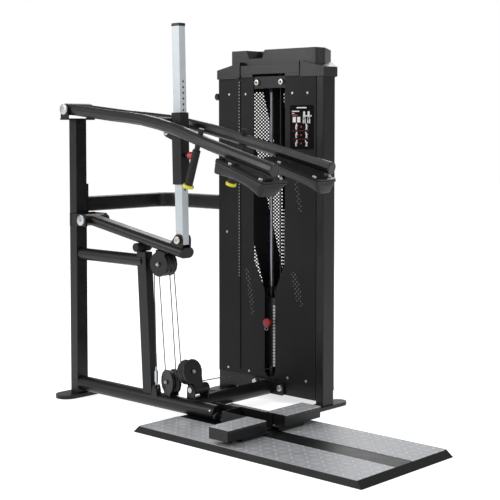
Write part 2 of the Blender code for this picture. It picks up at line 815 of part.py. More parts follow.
def main_rail():
    """Round floor rail with its end plate, the swivel's near lug and the cable anchor's ears."""
    back = POST_WIDTH / 2 + GAP
    rail = rod((back, 0, RAIL_Z), (RAIL_END, 0, RAIL_Z), RAIL_RADIUS, 24)
    plate = rod((RAIL_END - RAIL_CAP, 0, RAIL_Z), (RAIL_END + RAIL_CAP, 0, RAIL_Z),
                RAIL_RADIUS - RAIL_CAP / 4, 24)
    hole = circle((SWIVEL_X, SWIVEL_Z), SWIVEL_BOLT_RADIUS + GAP, 12)
    near = slab(lug((SWIVEL_X, SWIVEL_Z), SWIVEL_LUG_RADIUS,
                    (SWIVEL_X - SWIVEL_RADIUS, RAIL_Z), (SWIVEL_X + SWIVEL_RADIUS, RAIL_Z)),
                facing_y((0, SWIVEL_NEAR_LUG + SWIVEL_NEAR_LUG_THICKNESS / 2, 0)),
                SWIVEL_NEAR_LUG_THICKNESS, [hole])
    ears = []
    for side in SIDES:
        y = anchor_ear_y(side)
        ears.append(slab(lug((ANCHOR_X, ANCHOR_Z), ANCHOR_EAR_RADIUS,
                             (ANCHOR_X - 2 * ANCHOR_EAR_RADIUS, RAIL_Z),
                             (ANCHOR_X + 2 * ANCHOR_EAR_RADIUS, RAIL_Z)),
                         facing_y((0, y, 0)), ANCHOR_EAR_THICKNESS))
    reach = ANCHOR_EAR_GAP / 2 + ANCHOR_EAR_THICKNESS
    pin = rod((ANCHOR_X, -UPPER_WHEEL_Y - reach + ANCHOR_EAR_THICKNESS / 2, ANCHOR_Z),
              (ANCHOR_X, -UPPER_WHEEL_Y + reach - ANCHOR_EAR_THICKNESS / 2, ANCHOR_Z),
              ANCHOR_PIN_RADIUS, 12)
    heads = []
    for side in SIDES:
        y = anchor_ear_y(side)
        heads.append(rod((ANCHOR_X, y, ANCHOR_Z),
                         (ANCHOR_X, y + side * ANCHOR_EAR_THICKNESS, ANCHOR_Z),
                         ANCHOR_HEAD_RADIUS, 8))
    finish(fuse(rail, plate, near, *ears, pin, *heads), "main_rail", BLACK_STEEL)


def anchor_ear_y(side):
    """Middle plane of one of the cable anchor's ears."""
    return -UPPER_WHEEL_Y + side * (ANCHOR_EAR_GAP + ANCHOR_EAR_THICKNESS) / 2


def lever_post_outline():
    """Side view of the lever post."""
    top = bumper_height() - BUMPER_RADIUS - GAP
    bottom = RAIL_Z
    half = LEVER_POST_WIDTH / 2
    return [(lever_post_x(bottom) - half, bottom), (lever_post_x(bottom) + half, bottom),
            (lever_post_x(top) + half, top), (lever_post_x(top) - half, top)]


def lever_post():
    """Leaning post cut to the rail's round top, with the round tie to the rear post."""
    post = slab(lever_post_outline(), facing_y((0, 0, 0)), LEVER_POST_DEPTH)
    tie = rod((POST_WIDTH / 2 + GAP, 0, TIE_Z), (LEVER_POST_X, 0, TIE_Z), TIE_RADIUS, 24)
    finish(fuse(cut(post, rail_cutter()), tie), "lever_post", BLACK_STEEL)


def stop_bumper():
    """Rubber roll on the lever post that the lever rests on."""
    z = bumper_height()
    roll = rod((BUMPER_X, -BUMPER_LENGTH / 2, z), (BUMPER_X, BUMPER_LENGTH / 2, z),
               BUMPER_RADIUS, 24)
    finish(roll, "stop_bumper", RUBBER)


def arm_bracket_pieces():
    """Plate with two ears on top of the rear post."""
    bottom = POST_TOP - ARM_BRACKET_PLATE / 8
    inner = ARM_HUB_LENGTH / 2 + GAP
    outer = inner + ARM_EAR_THICKNESS
    plate = box((-ARM_BRACKET_REACH, -outer - BRACKET_EDGE, bottom),
                (ARM_BRACKET_REACH, outer + BRACKET_EDGE, bottom + ARM_BRACKET_PLATE))
    pieces = [plate]
    foot = ARM_BRACKET_REACH - BRACKET_EDGE
    foot_z = bottom + ARM_BRACKET_PLATE / 2
    for side in SIDES:
        bore = circle((0, ARM_PIVOT_Z), ARM_SHAFT_RADIUS + RUNNING_GAP, 16)
        outline = lug((0, ARM_PIVOT_Z), ARM_EAR_RADIUS, (-foot, foot_z), (foot, foot_z))
        pieces.append(slab(outline, facing_y((0, side * (inner + outer) / 2, 0)),
                           ARM_EAR_THICKNESS, [bore]))
    return pieces


def lever_bracket_pieces():
    """Plate and two ears on the rear post's front that carry the lower lever."""
    back = POST_WIDTH / 2 - BRACKET_BASE_THICKNESS / 8
    inner = LEVER_HUB_LENGTH / 2 + GAP
    outer = inner + BRACKET_EAR_THICKNESS
    bottom = LEVER_PIVOT_Z - BRACKET_HEIGHT / 2
    top = LEVER_PIVOT_Z + BRACKET_HEIGHT / 2
    front = LEVER_PIVOT_X + BRACKET_REACH
    chamfer = BRACKET_HEIGHT / 3
    edge = outer + BRACKET_EDGE
    plate = box((back, -edge, bottom - BRACKET_EDGE),
                (back + BRACKET_BASE_THICKNESS, edge, top + BRACKET_EDGE))
    pieces = [plate]
    root = back + BRACKET_BASE_THICKNESS / 2
    for side in SIDES:
        bore = circle((LEVER_PIVOT_X, LEVER_PIVOT_Z), LEVER_STUB_RADIUS + RUNNING_GAP, 16)
        outline = [(root, bottom), (front, bottom), (front, top - chamfer),
                   (front - chamfer, top), (root, top)]
        pieces.append(slab(outline, facing_y((0, side * (inner + outer) / 2, 0)),
                           BRACKET_EAR_THICKNESS, [bore]))
    return pieces


def brace():
    """Flat-sided tube bent from the rear post round to the tower, with its end plate."""
    start = POST_DEPTH / 2 + GAP
    plate_back = start + BRACE_PLATE
    bend = arc((BRACE_X + BRACE_BEND, BRACE_Y - BRACE_BEND), BRACE_BEND, math.pi, math.pi / 2, 8)
    route = [(BRACE_X, plate_back - BRACE_PLATE / 2, BRACE_Z)]
    route += [(x, y, BRACE_Z) for x, y in bend]
    route.append((TOWER_LEFT - GAP, BRACE_Y, BRACE_Z))
    tube = sweep(rounded_box(BRACE_WIDTH, BRACE_HEIGHT, BRACE_CORNER), route)
    plate_z = BRACE_Z + BRACE_PLATE_RISE
    plate = box((-BRACE_PLATE_HALF_WIDTH, start, plate_z - BRACE_PLATE_HEIGHT / 2),
                (BRACE_PLATE_HALF_WIDTH, plate_back, plate_z + BRACE_PLATE_HEIGHT / 2))
    finish(fuse(plate, tube), "brace", BLACK_STEEL)


def cross_beam():
    """Round tube from the rail to the tower, with its end flange and the swivel's far lug."""
    start = SWIVEL_NEAR_LUG + SWIVEL_NEAR_LUG_THICKNESS + GAP
    beam = rod((BEAM_X, start, RAIL_Z), (BEAM_X, BEAM_END + FLANGE_THICKNESS / 2, RAIL_Z),
               RAIL_RADIUS, 24)
    flange = slab(rounded_box(FLANGE_FRONT_X - FLANGE_BACK_X, FLANGE_TOP - FLANGE_BOTTOM,
                              FLANGE_CORNER),
                  facing_y(((FLANGE_BACK_X + FLANGE_FRONT_X) / 2, BEAM_END + FLANGE_THICKNESS / 2,
                            (FLANGE_TOP + FLANGE_BOTTOM) / 2)), FLANGE_THICKNESS)
    hole = circle((SWIVEL_X, SWIVEL_Z), SWIVEL_BOLT_RADIUS + GAP, 12)
    reach = RAIL_RADIUS - SWIVEL_LUG_RADIUS / 4
    far = slab(lug((SWIVEL_X, SWIVEL_Z), SWIVEL_LUG_RADIUS, (BEAM_X - reach, RAIL_Z),
                   (BEAM_X + reach, RAIL_Z)),
               facing_y((0, SWIVEL_FAR_LUG + SWIVEL_FAR_LUG_THICKNESS / 2, 0)),
               SWIVEL_FAR_LUG_THICKNESS, [hole])
    bolts = [bolt(FLANGE_BACK_X + FLANGE_BOLT_EDGE, BEAM_END, FLANGE_TOP - FLANGE_BOLT_EDGE),
             bolt(FLANGE_FRONT_X - FLANGE_BOLT_EDGE, BEAM_END, FLANGE_TOP - FLANGE_BOLT_DROP)]
    beam = fuse(beam, flange, far, *bolts)
    finish(cut(beam, rail_cutter()), "cross_beam", BLACK_STEEL)


def cheek_outline(center, neck_end):
    """Round guard cheek with a straight neck that runs up or down to a level."""
    half = GUARD_NECK
    rise = math.sqrt(GUARD_RADIUS ** 2 - half ** 2)
    turn = math.atan2(rise, half)
    if neck_end > center[1]:
        round_side = arc(center, GUARD_RADIUS, math.pi - turn, 2 * math.pi + turn, 12)
        return round_side + [(center[0] + half, neck_end), (center[0] - half, neck_end)]
    round_side = arc(center, GUARD_RADIUS, -turn, math.pi + turn, 12)
    return round_side + [(center[0] - half, neck_end), (center[0] + half, neck_end)]


def guard_offset(width):
    """Middle plane of a guard cheek beside a wheel of a given width."""
    return width / 2 + WHEEL_SIDE_GAP + GUARD_THICKNESS / 2


def lower_pulley_guard():
    """Base plate on the rail with two round cheeks and the axle's holes."""
    bottom = RAIL_TOP + GAP
    offset = guard_offset(WHEEL_WIDTH)
    reach = offset + GUARD_THICKNESS / 2
    under = bottom - LOWER_WHEEL.z
    rim = GUARD_THICKNESS / 2
    base = box((-GUARD_NECK - rim, -reach - rim, under),
               (GUARD_NECK + rim, reach + rim, under + LOWER_BASE_THICKNESS), LOWER_FRAME)
    cheeks = []
    for side in SIDES:
        cheeks.append(slab(cheek_outline((0, 0), under + LOWER_BASE_THICKNESS / 2),
                           LOWER_FRAME @ facing_y((0, side * offset, 0)), GUARD_THICKNESS))
    shaft = axle((0, -reach, 0), (0, reach, 0), LOWER_FRAME)
    finish(fuse(base, *cheeks, shaft), "lower_pulley_guard", BLACK_STEEL)


def turnbuckle():
    """Eye, body and rod that anchor the cable's fixed end to the rail."""
    y = -UPPER_WHEEL_Y
    eye = slab(circle((ANCHOR_X, ANCHOR_Z), ANCHOR_EAR_RADIUS, 16), facing_y((0, y, 0)),
               ANCHOR_EAR_GAP - 4 * GAP, [circle((ANCHOR_X, ANCHOR_Z), ANCHOR_PIN_RADIUS + GAP, 8)])
    top = ANCHOR_Z + TURNBUCKLE_LENGTH
    bottom = ANCHOR_Z + ANCHOR_EAR_RADIUS - GAP
    stem = rod((ANCHOR_X, y, bottom), (ANCHOR_X, y, top), TURNBUCKLE_ROD_RADIUS, 12)
    body = rod((ANCHOR_X, y, ANCHOR_Z + TURNBUCKLE_BODY_START),
               (ANCHOR_X, y, ANCHOR_Z + TURNBUCKLE_BODY_END), TURNBUCKLE_RADIUS, 12)
    finish(fuse(eye, stem, body), "turnbuckle", ZINC)


def wheel(pitch_radius, width, frame, steps=16):
    """Grooved pulley with a bore for its axle, turned round a frame's Z."""
    rim = pitch_radius + WHEEL_RIM
    groove = pitch_radius - WHEEL_GROOVE
    bore = WHEEL_AXLE_RADIUS + RUNNING_GAP
    half = width / 2
    seat = CABLE_RADIUS + RUNNING_GAP
    mouth = max((half - CABLE_RADIUS) * GROOVE_MOUTH, seat + RUNNING_GAP)
    profile = [(rim, half), (rim, mouth), (groove, seat), (groove, -seat), (rim, -mouth),
               (rim, -half), (bore, -half), (bore, half)]
    return turned(profile, frame, steps)


def axle(start, end, frame=Matrix()):
    """Pulley axle between two cheeks' outer faces, with a head sunk into each cheek."""
    start = Vector(start)
    end = Vector(end)
    along = (end - start).normalized()
    shaft = rod(start, end, WHEEL_AXLE_RADIUS, 12, frame)
    heads = []
    for point, out in ((start, -along), (end, along)):
        heads.append(rod(point - out * GUARD_THICKNESS / 2, point + out * AXLE_HEAD,
                         AXLE_HEAD_RADIUS, 12, frame))
    return fuse(shaft, *heads)


def tower_base():
    """Front beam and rear tray between the uprights, with the base pulley's cheeks."""
    seam = UPRIGHT_BACK + GAP
    step = TRAY_THICKNESS / 20
    beam = box((INNER_LEFT + step, TOWER_FRONT + step, TOWER_BASE_BOTTOM),
               (INNER_RIGHT - step, UPRIGHT_BACK, TOWER_BASE_TOP - TRAY_THICKNESS / 2))
    tray_outline = [(INNER_LEFT + GAP, TOWER_FRONT), (INNER_RIGHT - GAP, TOWER_FRONT),
                    (INNER_RIGHT - GAP, seam), (TOWER_RIGHT - GAP, seam + GAP),
                    (TOWER_X + COVER_BACK_HALF_WIDTH, TOWER_BACK),
                    (TOWER_X - COVER_BACK_HALF_WIDTH, TOWER_BACK),
                    (TOWER_LEFT + GAP, seam + GAP), (INNER_LEFT + GAP, seam)]
    tray = slab(tray_outline, facing_z((0, 0, TOWER_BASE_TOP - TRAY_THICKNESS / 2)),
                TRAY_THICKNESS)
    cheeks = []
    reach = guard_offset(WHEEL_WIDTH) + GUARD_THICKNESS / 2
    for side in SIDES:
        low = TOWER_BASE_TOP - TRAY_THICKNESS / 2
        outline = lug((BASE_WHEEL_Y, BASE_WHEEL_Z), BASE_CHEEK_RADIUS,
                      (BASE_WHEEL_Y - 2 * BASE_CHEEK_RADIUS, low),
                      (BASE_WHEEL_Y + 2 * BASE_CHEEK_RADIUS, low))
        place = facing_x((TOWER_X + side * guard_offset(WHEEL_WIDTH), 0, 0))
        cheeks.append(slab(outline, place, GUARD_THICKNESS))
    center = Vector((TOWER_X, BASE_WHEEL_Y, BASE_WHEEL_Z))
    shaft = axle(center - Vector((reach, 0, 0)), center + Vector((reach, 0, 0)))
    finish(fuse(beam, tray, *cheeks, shaft), "tower_base", BLACK_STEEL)


def tower_upright_left():
    """Rectangular upright behind the panel on its foot plate, with a knob on its side."""
    bottom = FOOT_THICKNESS / 2
    post = box((TOWER_LEFT, PANEL_BACK + GAP, bottom), (INNER_LEFT, UPRIGHT_BACK, UPRIGHT_TOP))
    knob_y = TOWER_FRONT + SIDE_KNOB_SETBACK
    knob = rod((TOWER_LEFT - SIDE_KNOB_HEIGHT, knob_y, SIDE_KNOB_Z),
               (TOWER_LEFT - SIDE_KNOB_STEM, knob_y, SIDE_KNOB_Z), SIDE_KNOB_RADIUS, 16)
    stem = rod((TOWER_LEFT - 2 * SIDE_KNOB_STEM, knob_y, SIDE_KNOB_Z),
               (TOWER_LEFT + SIDE_KNOB_STEM, knob_y, SIDE_KNOB_Z), SIDE_KNOB_STEM_RADIUS, 16)
    finish(fuse(post, stem, knob, tower_foot(-1)), "tower_upright_left", BLACK_STEEL)


def tower_upright_right():
    """Rectangular upright beside the panel on its foot plate."""
    bottom = FOOT_THICKNESS / 2
    post = slab(rounded_box(UPRIGHT_WIDTH, UPRIGHT_DEPTH, UPRIGHT_CORNER),
                facing_z((TOWER_RIGHT - UPRIGHT_WIDTH / 2, TOWER_FRONT + UPRIGHT_DEPTH / 2,
                          (bottom + UPRIGHT_TOP) / 2)), UPRIGHT_TOP - bottom)
    finish(fuse(post, tower_foot(1)), "tower_upright_right", BLACK_STEEL)


def front_panel():
    """Sheet over the tower's front with its open slot and one raised rib."""
    half = SLOT_NECK_HALF_WIDTH
    bottom_round = arc((SLOT_NECK_X, SLOT_BOTTOM + half), half, 0, -math.pi, 8)
    outline = [(TOWER_LEFT, TOWER_BASE_TOP + GAP), (INNER_RIGHT - GAP, TOWER_BASE_TOP + GAP),
               (INNER_RIGHT - GAP, PANEL_TOP), (SLOT_FRONT_X, PANEL_TOP),
               (SLOT_FRONT_X, SLOT_SHOULDER_Z), (SLOT_NECK_X + half, SLOT_NECK_Z)]
    outline += bottom_round
    outline += [(SLOT_NECK_X - half, SLOT_NECK_Z), (SLOT_BACK_X, SLOT_SHOULDER_Z),
                (SLOT_BACK_X, PANEL_TOP), (TOWER_LEFT, PANEL_TOP)]
    sheet = slab(outline, facing_y((0, TOWER_FRONT + PANEL_THICKNESS / 2, 0)), PANEL_THICKNESS)
    rib = box((RIB_X - RIB_WIDTH / 2, TOWER_FRONT - RIB_HEIGHT, TOWER_BASE_TOP + 2 * RIB_WIDTH),
              (RIB_X + RIB_WIDTH / 2, TOWER_FRONT + PANEL_THICKNESS / 2,
               CAP_SKIRT_BOTTOM - RIB_WIDTH))
    finish(fuse(sheet, rib), "front_panel", BLACK_SHEET)


def cover_path(inset):
    """Plan of the back cover, moved inward by an inset."""
    seam = UPRIGHT_BACK + GAP
    slope = math.atan2(TOWER_BACK - seam, TOWER_HALF_WIDTH - COVER_BACK_HALF_WIDTH)
    corner = COVER_BACK_HALF_WIDTH - inset * math.tan(slope / 2)
    edge = TOWER_HALF_WIDTH - 2 * GAP - inset / math.sin(slope)
    return [(TOWER_X - edge, seam), (TOWER_X - corner, TOWER_BACK - inset),
            (TOWER_X + corner, TOWER_BACK - inset), (TOWER_X + edge, seam)]


def back_cover():
    """Folded sheet round the tower's back."""
    bottom = TOWER_BASE_TOP + GAP
    outline = cover_path(0) + cover_path(COVER_THICKNESS)[::-1]
    cover = slab(outline, facing_z((0, 0, (bottom + PANEL_TOP) / 2)), PANEL_TOP - bottom)
    finish(cover, "back_cover", BLACK_SHEET)


def cap_outline(half_width, front, side_back, back_half_width, back, inset):
    """Plan of the cap with two chamfered back corners, moved inward by an inset."""
    half = half_width - inset
    corner = min(back_half_width, half) - inset / 2
    return [(TOWER_X - half, front + inset), (TOWER_X + half, front + inset),
            (TOWER_X + half, side_back), (TOWER_X + corner, back - inset),
            (TOWER_X - corner, back - inset), (TOWER_X - half, side_back)]


def cap_roofline():
    """Cutter over the skirt that is low in the middle and slopes down along both wings."""
    edge = TOWER_HALF_WIDTH + CAP_OVERHANG
    slope = (CAP_WING_PEAK - CAP_SKIRT_TOP) / (edge - CAP_WING_INNER)
    far = edge + CAP_OVERHANG
    eaves = CAP_SKIRT_TOP - slope * CAP_OVERHANG
    low = (CAP_MIDDLE_BOTTOM + CAP_MIDDLE_TOP) / 2
    outline = [(-far, eaves), (-CAP_WING_INNER, CAP_WING_PEAK), (-CAP_WING_INNER, low),
               (CAP_WING_INNER, low), (CAP_WING_INNER, CAP_WING_PEAK), (far, eaves),
               (far, CAP_TOP), (-far, CAP_TOP)]
    return slab(outline, facing_y((TOWER_X, (TOWER_FRONT + TOWER_BACK) / 2, 0)),
                2 * (TOWER_BACK - TOWER_FRONT))


def cap_body(inset):
    """Skirt, raised middle and upper part of the cap, moved inward by an inset."""
    front = TOWER_FRONT - CAP_FRONT_REACH
    back = TOWER_BACK + CAP_BACK_MARGIN
    back_half = COVER_BACK_HALF_WIDTH + CAP_BACK_MARGIN
    skirt_outline = cap_outline(TOWER_HALF_WIDTH + CAP_OVERHANG, front, CAP_SIDE_BACK, back_half,
                                back, inset)
    skirt_top = CAP_SKIRT_TOP if inset else CAP_WING_PEAK + CAP_WALL
    skirt = slab(skirt_outline, facing_z((0, 0, (CAP_SKIRT_BOTTOM + skirt_top) / 2 - inset)),
                 skirt_top - CAP_SKIRT_BOTTOM)
    if not inset:
        skirt = cut(skirt, cap_roofline())
    middle_outline = cap_outline(CAP_MIDDLE_HALF_WIDTH, front, CAP_SIDE_BACK, back_half, back,
                                 inset)
    middle = slab(middle_outline,
                  facing_z((0, 0, (CAP_MIDDLE_BOTTOM + CAP_MIDDLE_TOP) / 2 - inset)),
                  CAP_MIDDLE_TOP - CAP_MIDDLE_BOTTOM)
    upper_outline = cap_outline(CAP_UPPER_HALF_WIDTH, front + CAP_UPPER_SETBACK, CAP_SIDE_BACK,
                                back_half, back, inset)
    upper = slab(upper_outline, facing_z((0, 0, (CAP_MIDDLE_BOTTOM + CAP_TOP) / 2 - inset)),
                 CAP_TOP - CAP_MIDDLE_BOTTOM)
    return fuse(skirt, middle, upper)


def top_cap():
    """Hollow moulded cap with a bottle cup in a pocket at its front edge."""
    front = TOWER_FRONT - CAP_FRONT_REACH
    cap = cut(cap_body(0), cap_body(CAP_WALL))
    arch = box((TOWER_X - CAP_MIDDLE_HALF_WIDTH, front - CAP_WALL, CAP_SKIRT_BOTTOM - CAP_WALL),
               (TOWER_X + CAP_MIDDLE_HALF_WIDTH, front + 2 * CAP_WALL, CAP_MIDDLE_BOTTOM))
    cap = cut(cap, arch)
    upper_front = front + CAP_UPPER_SETBACK
    cup_y = upper_front + CUP_SETBACK
    cup_bottom = CAP_TOP - CUP_DEPTH
    pocket_back = cup_y + CUP_RADIUS + CAP_WALL
    block = box((CUP_X - POCKET_HALF_WIDTH - CAP_WALL, upper_front, cup_bottom - CAP_WALL),
                (CUP_X + POCKET_HALF_WIDTH + CAP_WALL, pocket_back + CAP_WALL, CAP_TOP))
    floor = CAP_TOP - POCKET_DEPTH
    outline = [(-POCKET_FLOOR_HALF_WIDTH, floor), (POCKET_FLOOR_HALF_WIDTH, floor),
               (POCKET_HALF_WIDTH, CAP_TOP + CAP_WALL),
               (-POCKET_HALF_WIDTH, CAP_TOP + CAP_WALL)]
    pocket = slab(outline, facing_y((CUP_X, (front + pocket_back) / 2, 0)),
                  pocket_back - front)
    bore = rod((CUP_X, cup_y, cup_bottom), (CUP_X, cup_y, CAP_TOP), CUP_RADIUS, 24)
    cap = fuse(cap, block)
    finish(cut(cap, pocket, bore), "top_cap", BLACK_PLASTIC)


def placard():
    """Thin printed plate on the front panel."""
    back = TOWER_FRONT - GAP
    plate = slab(rounded_box(PLACARD_WIDTH, PLACARD_HEIGHT, PLACARD_CORNER),
                 facing_y((PLACARD_X, back - PLACARD_THICKNESS / 2, PLACARD_Z)),
                 PLACARD_THICKNESS)
    finish(plate, "placard", PLACARD_PRINT)


def guide_rod(name, side):
    """Polished rod that the weights slide on, with the rubber buffer round its foot."""
    x = TOWER_X + side * GUIDE_ROD_SPACING / 2
    polished = rod((x, STACK_ROD_Y, TRAY_TOP), (x, STACK_ROD_Y, ROD_TOP), GUIDE_ROD_RADIUS, 16)
    buffer = rod((x, STACK_ROD_Y, TRAY_TOP), (x, STACK_ROD_Y, STACK_BOTTOM - GAP), CUSHION_RADIUS,
                 20)
    finish(fuse(polished, buffer), name, CHROME)


def stack_top_bracket():
    """Crossmember, rod plate with bushes, and the top pulley's cheeks."""
    front = PANEL_BACK + GAP
    member_back = front + CROSSMEMBER_DEPTH
    member = box((INNER_LEFT + GAP, front, CROSSMEMBER_BOTTOM),
                 (INNER_RIGHT - GAP, member_back, PANEL_TOP))
    half = TOP_WHEEL_WIDTH / 2 + WHEEL_SIDE_GAP
    plate = box((TOWER_X - ROD_PLATE_HALF_WIDTH, member_back - CROSSMEMBER_DEPTH / 4,
                 ROD_PLATE_BOTTOM), (TOWER_X + ROD_PLATE_HALF_WIDTH, ROD_PLATE_BACK, ROD_PLATE_TOP))
    slot = box((TOWER_X - half, TOP_WHEEL_Y - TOP_WHEEL_PITCH_RADIUS - 4 * WHEEL_RIM,
                ROD_PLATE_BOTTOM - GAP), (TOWER_X + half, ROD_PLATE_BACK + WHEEL_RIM,
                                          ROD_PLATE_TOP + GAP))
    plate = cut(plate, slot)
    pieces = [plate]
    for side in SIDES:
        x = TOWER_X + side * GUIDE_ROD_SPACING / 2
        pieces.append(rod((x, STACK_ROD_Y, ROD_PLATE_BOTTOM - TOP_BUSH_HEIGHT),
                          (x, STACK_ROD_Y, ROD_PLATE_TOP - ROD_PLATE_THICKNESS / 2),
                          TOP_BUSH_RADIUS, 16))
        low = ROD_PLATE_BOTTOM + ROD_PLATE_THICKNESS / 2
        outline = lug((TOP_WHEEL_Y, TOP_WHEEL_Z), BASE_CHEEK_RADIUS,
                      (TOP_WHEEL_Y - 2 * BASE_CHEEK_RADIUS, low),
                      (TOP_WHEEL_Y + 2 * BASE_CHEEK_RADIUS, low))
        place = facing_x((TOWER_X + side * guard_offset(TOP_WHEEL_WIDTH), 0, 0))
        pieces.append(slab(outline, place, GUARD_THICKNESS))
    reach = Vector((guard_offset(TOP_WHEEL_WIDTH) + GUARD_THICKNESS / 2, 0, 0))
    center = Vector((TOWER_X, TOP_WHEEL_Y, TOP_WHEEL_Z))
    pieces.append(axle(center - reach, center + reach))
    member_z = (CROSSMEMBER_BOTTOM + PANEL_TOP) / 2
    pieces.append(bolt(SLOT_BACK_X + MEMBER_BOLT_EDGE, front, member_z))
    pieces.append(bolt(SLOT_FRONT_X - MEMBER_BOLT_EDGE, front, member_z))
    finish(fuse(member, *pieces), "stack_top_bracket", BLACK_STEEL)


def plate_pack(first, count):
    """Weight plates counted from the bottom, joined by a slightly smaller core."""
    pack = []
    for i in range(first, first + count):
        z = STACK_BOTTOM + i * PLATE_PITCH
        pack.append(box((TOWER_X - STACK_HALF_WIDTH, STACK_FRONT, z),
                        (TOWER_X + STACK_HALF_WIDTH, STACK_BACK, z + PLATE_THICKNESS)))
    bottom = STACK_BOTTOM + first * PLATE_PITCH + PLATE_THICKNESS / 2
    top = bottom + (count - 1) * PLATE_PITCH
    core = box((TOWER_X - STACK_HALF_WIDTH + PLATE_SEAM, STACK_FRONT + PLATE_SEAM, bottom),
               (TOWER_X + STACK_HALF_WIDTH - PLATE_SEAM, STACK_BACK - PLATE_SEAM, top))
    return fuse(core, *pack)


def guide_bores(bottom, top):
    """Cutters for the two guide rods' holes between two heights."""
    bores = []
    for side in SIDES:
        x = TOWER_X + side * GUIDE_ROD_SPACING / 2
        bores.append(rod((x, STACK_ROD_Y, bottom), (x, STACK_ROD_Y, top),
                         GUIDE_ROD_RADIUS + RUNNING_GAP, 16))
    return bores


def pin_bore():
    """Cutter for the selector pin's hole in the first lifted plate and the selector rod."""
    return rod((TOWER_X, STACK_FRONT - STACK_DEPTH, SELECTED_Z),
               (TOWER_X, STACK_ROD_Y + SELECTOR_ROD_RADIUS + SELECTOR_PIN_RADIUS, SELECTED_Z),
               SELECTOR_PIN_RADIUS + RUNNING_GAP, 12)


def lower_plates():
    """Weight plates below the selector pin, which stay down."""
    bottom = STACK_BOTTOM - PLATE_PITCH
    top = SELECTED_Z
    selector = rod((TOWER_X, STACK_ROD_Y, bottom), (TOWER_X, STACK_ROD_Y, top),
                   SELECTOR_ROD_RADIUS + RUNNING_GAP, 16)
    pack = cut(plate_pack(0, LOWER_PLATE_COUNT), *guide_bores(bottom, top), selector)
    finish(pack, "lower_plates", BLACK_STEEL)


def selector_head(parent):
    """Head plate with bushes and cable stud, the lifted plates and the selector rod under it."""
    plate = box((TOWER_X - STACK_HALF_WIDTH, STACK_FRONT, HEAD_BOTTOM),
                (TOWER_X + STACK_HALF_WIDTH, STACK_BACK, HEAD_TOP))
    neck = box((TOWER_X - STACK_HALF_WIDTH + PLATE_SEAM, STACK_FRONT + PLATE_SEAM,
                STACK_TOP - PLATE_PITCH / 2),
               (TOWER_X + STACK_HALF_WIDTH - PLATE_SEAM, STACK_BACK - PLATE_SEAM,
                HEAD_BOTTOM + PLATE_PITCH / 2))
    bushes = []
    for side in SIDES:
        x = TOWER_X + side * GUIDE_ROD_SPACING / 2
        bushes.append(rod((x, STACK_ROD_Y, HEAD_TOP - PLATE_THICKNESS / 2),
                          (x, STACK_ROD_Y, HEAD_TOP + HEAD_BUSH_HEIGHT), HEAD_BUSH_RADIUS, 16))
    stud = rod((TOWER_X, STACK_ROD_Y, HEAD_TOP - PLATE_THICKNESS / 2),
               (TOWER_X, STACK_ROD_Y, STUD_TOP), STUD_RADIUS, 12)
    selector = rod((TOWER_X, STACK_ROD_Y, STACK_BOTTOM + PLATE_THICKNESS / 4),
                   (TOWER_X, STACK_ROD_Y, HEAD_BOTTOM + PLATE_THICKNESS / 2),
                   SELECTOR_ROD_RADIUS, 16)
    head = fuse(plate_pack(LOWER_PLATE_COUNT, UPPER_PLATE_COUNT), neck, plate, *bushes, stud,
                selector)
    bottom = SELECTED_Z - PLATE_PITCH
    top = HEAD_TOP + 2 * HEAD_BUSH_HEIGHT
    head = cut(head, *guide_bores(bottom, top), pin_bore())
    finish(head, "selector_head", BLACK_STEEL, parent.location, parent)


def selector_pin(parent):
    """Pin through the lifted plate and the selector rod, with its round knob in front."""
    tip = STACK_ROD_Y + SELECTOR_ROD_RADIUS + SELECTOR_PIN_RADIUS - RUNNING_GAP
    knob_back = STACK_FRONT - SELECTOR_REACH + SELECTOR_KNOB_LENGTH
    shaft = rod((TOWER_X, knob_back - SELECTOR_KNOB_LENGTH / 2, SELECTED_Z),
                (TOWER_X, tip, SELECTED_Z), SELECTOR_PIN_RADIUS, 12)
    knob = rod((TOWER_X, knob_back - SELECTOR_KNOB_LENGTH, SELECTED_Z),
               (TOWER_X, knob_back, SELECTED_Z), SELECTOR_KNOB_RADIUS, 20)
    empty = axis_empty("selector_pin_axis", (TOWER_X, STACK_FRONT, SELECTED_Z), parent)
    finish(fuse(knob, shaft), "selector_pin", RED_PLASTIC, empty.location, empty)


def platform_base():
    """Low platform whose four sides slope outward."""
    base = box((PLATFORM_BACK, -PLATFORM_WIDTH / 2, 0),
               (PLATFORM_BACK + PLATFORM_LENGTH, PLATFORM_WIDTH / 2, PLATFORM_HEIGHT))
    for vertex in base.data.vertices:
        if vertex.co.z > 0:
            vertex.co.x -= math.copysign(PLATFORM_END_SLOPE, vertex.co.x)
            vertex.co.y -= math.copysign(PLATFORM_SIDE_SLOPE, vertex.co.y)
    finish(base, "platform_base", BLACK_STEEL)


def lane_plate(name, side):
    """Checker sheet on one half of the platform."""
    back = PLATFORM_BACK + PLATFORM_END_SLOPE
    front = PLATFORM_BACK + PLATFORM_LENGTH - PLATFORM_END_SLOPE
    outer = PLATFORM_WIDTH / 2 - PLATFORM_SIDE_SLOPE
    y = sorted((side * LANE_INNER, side * outer))
    sheet = box((back, y[0], PLATFORM_HEIGHT + GAP), (front, y[1], TREAD_TOP))
    finish(sheet, name, CHECKER_PLATE)


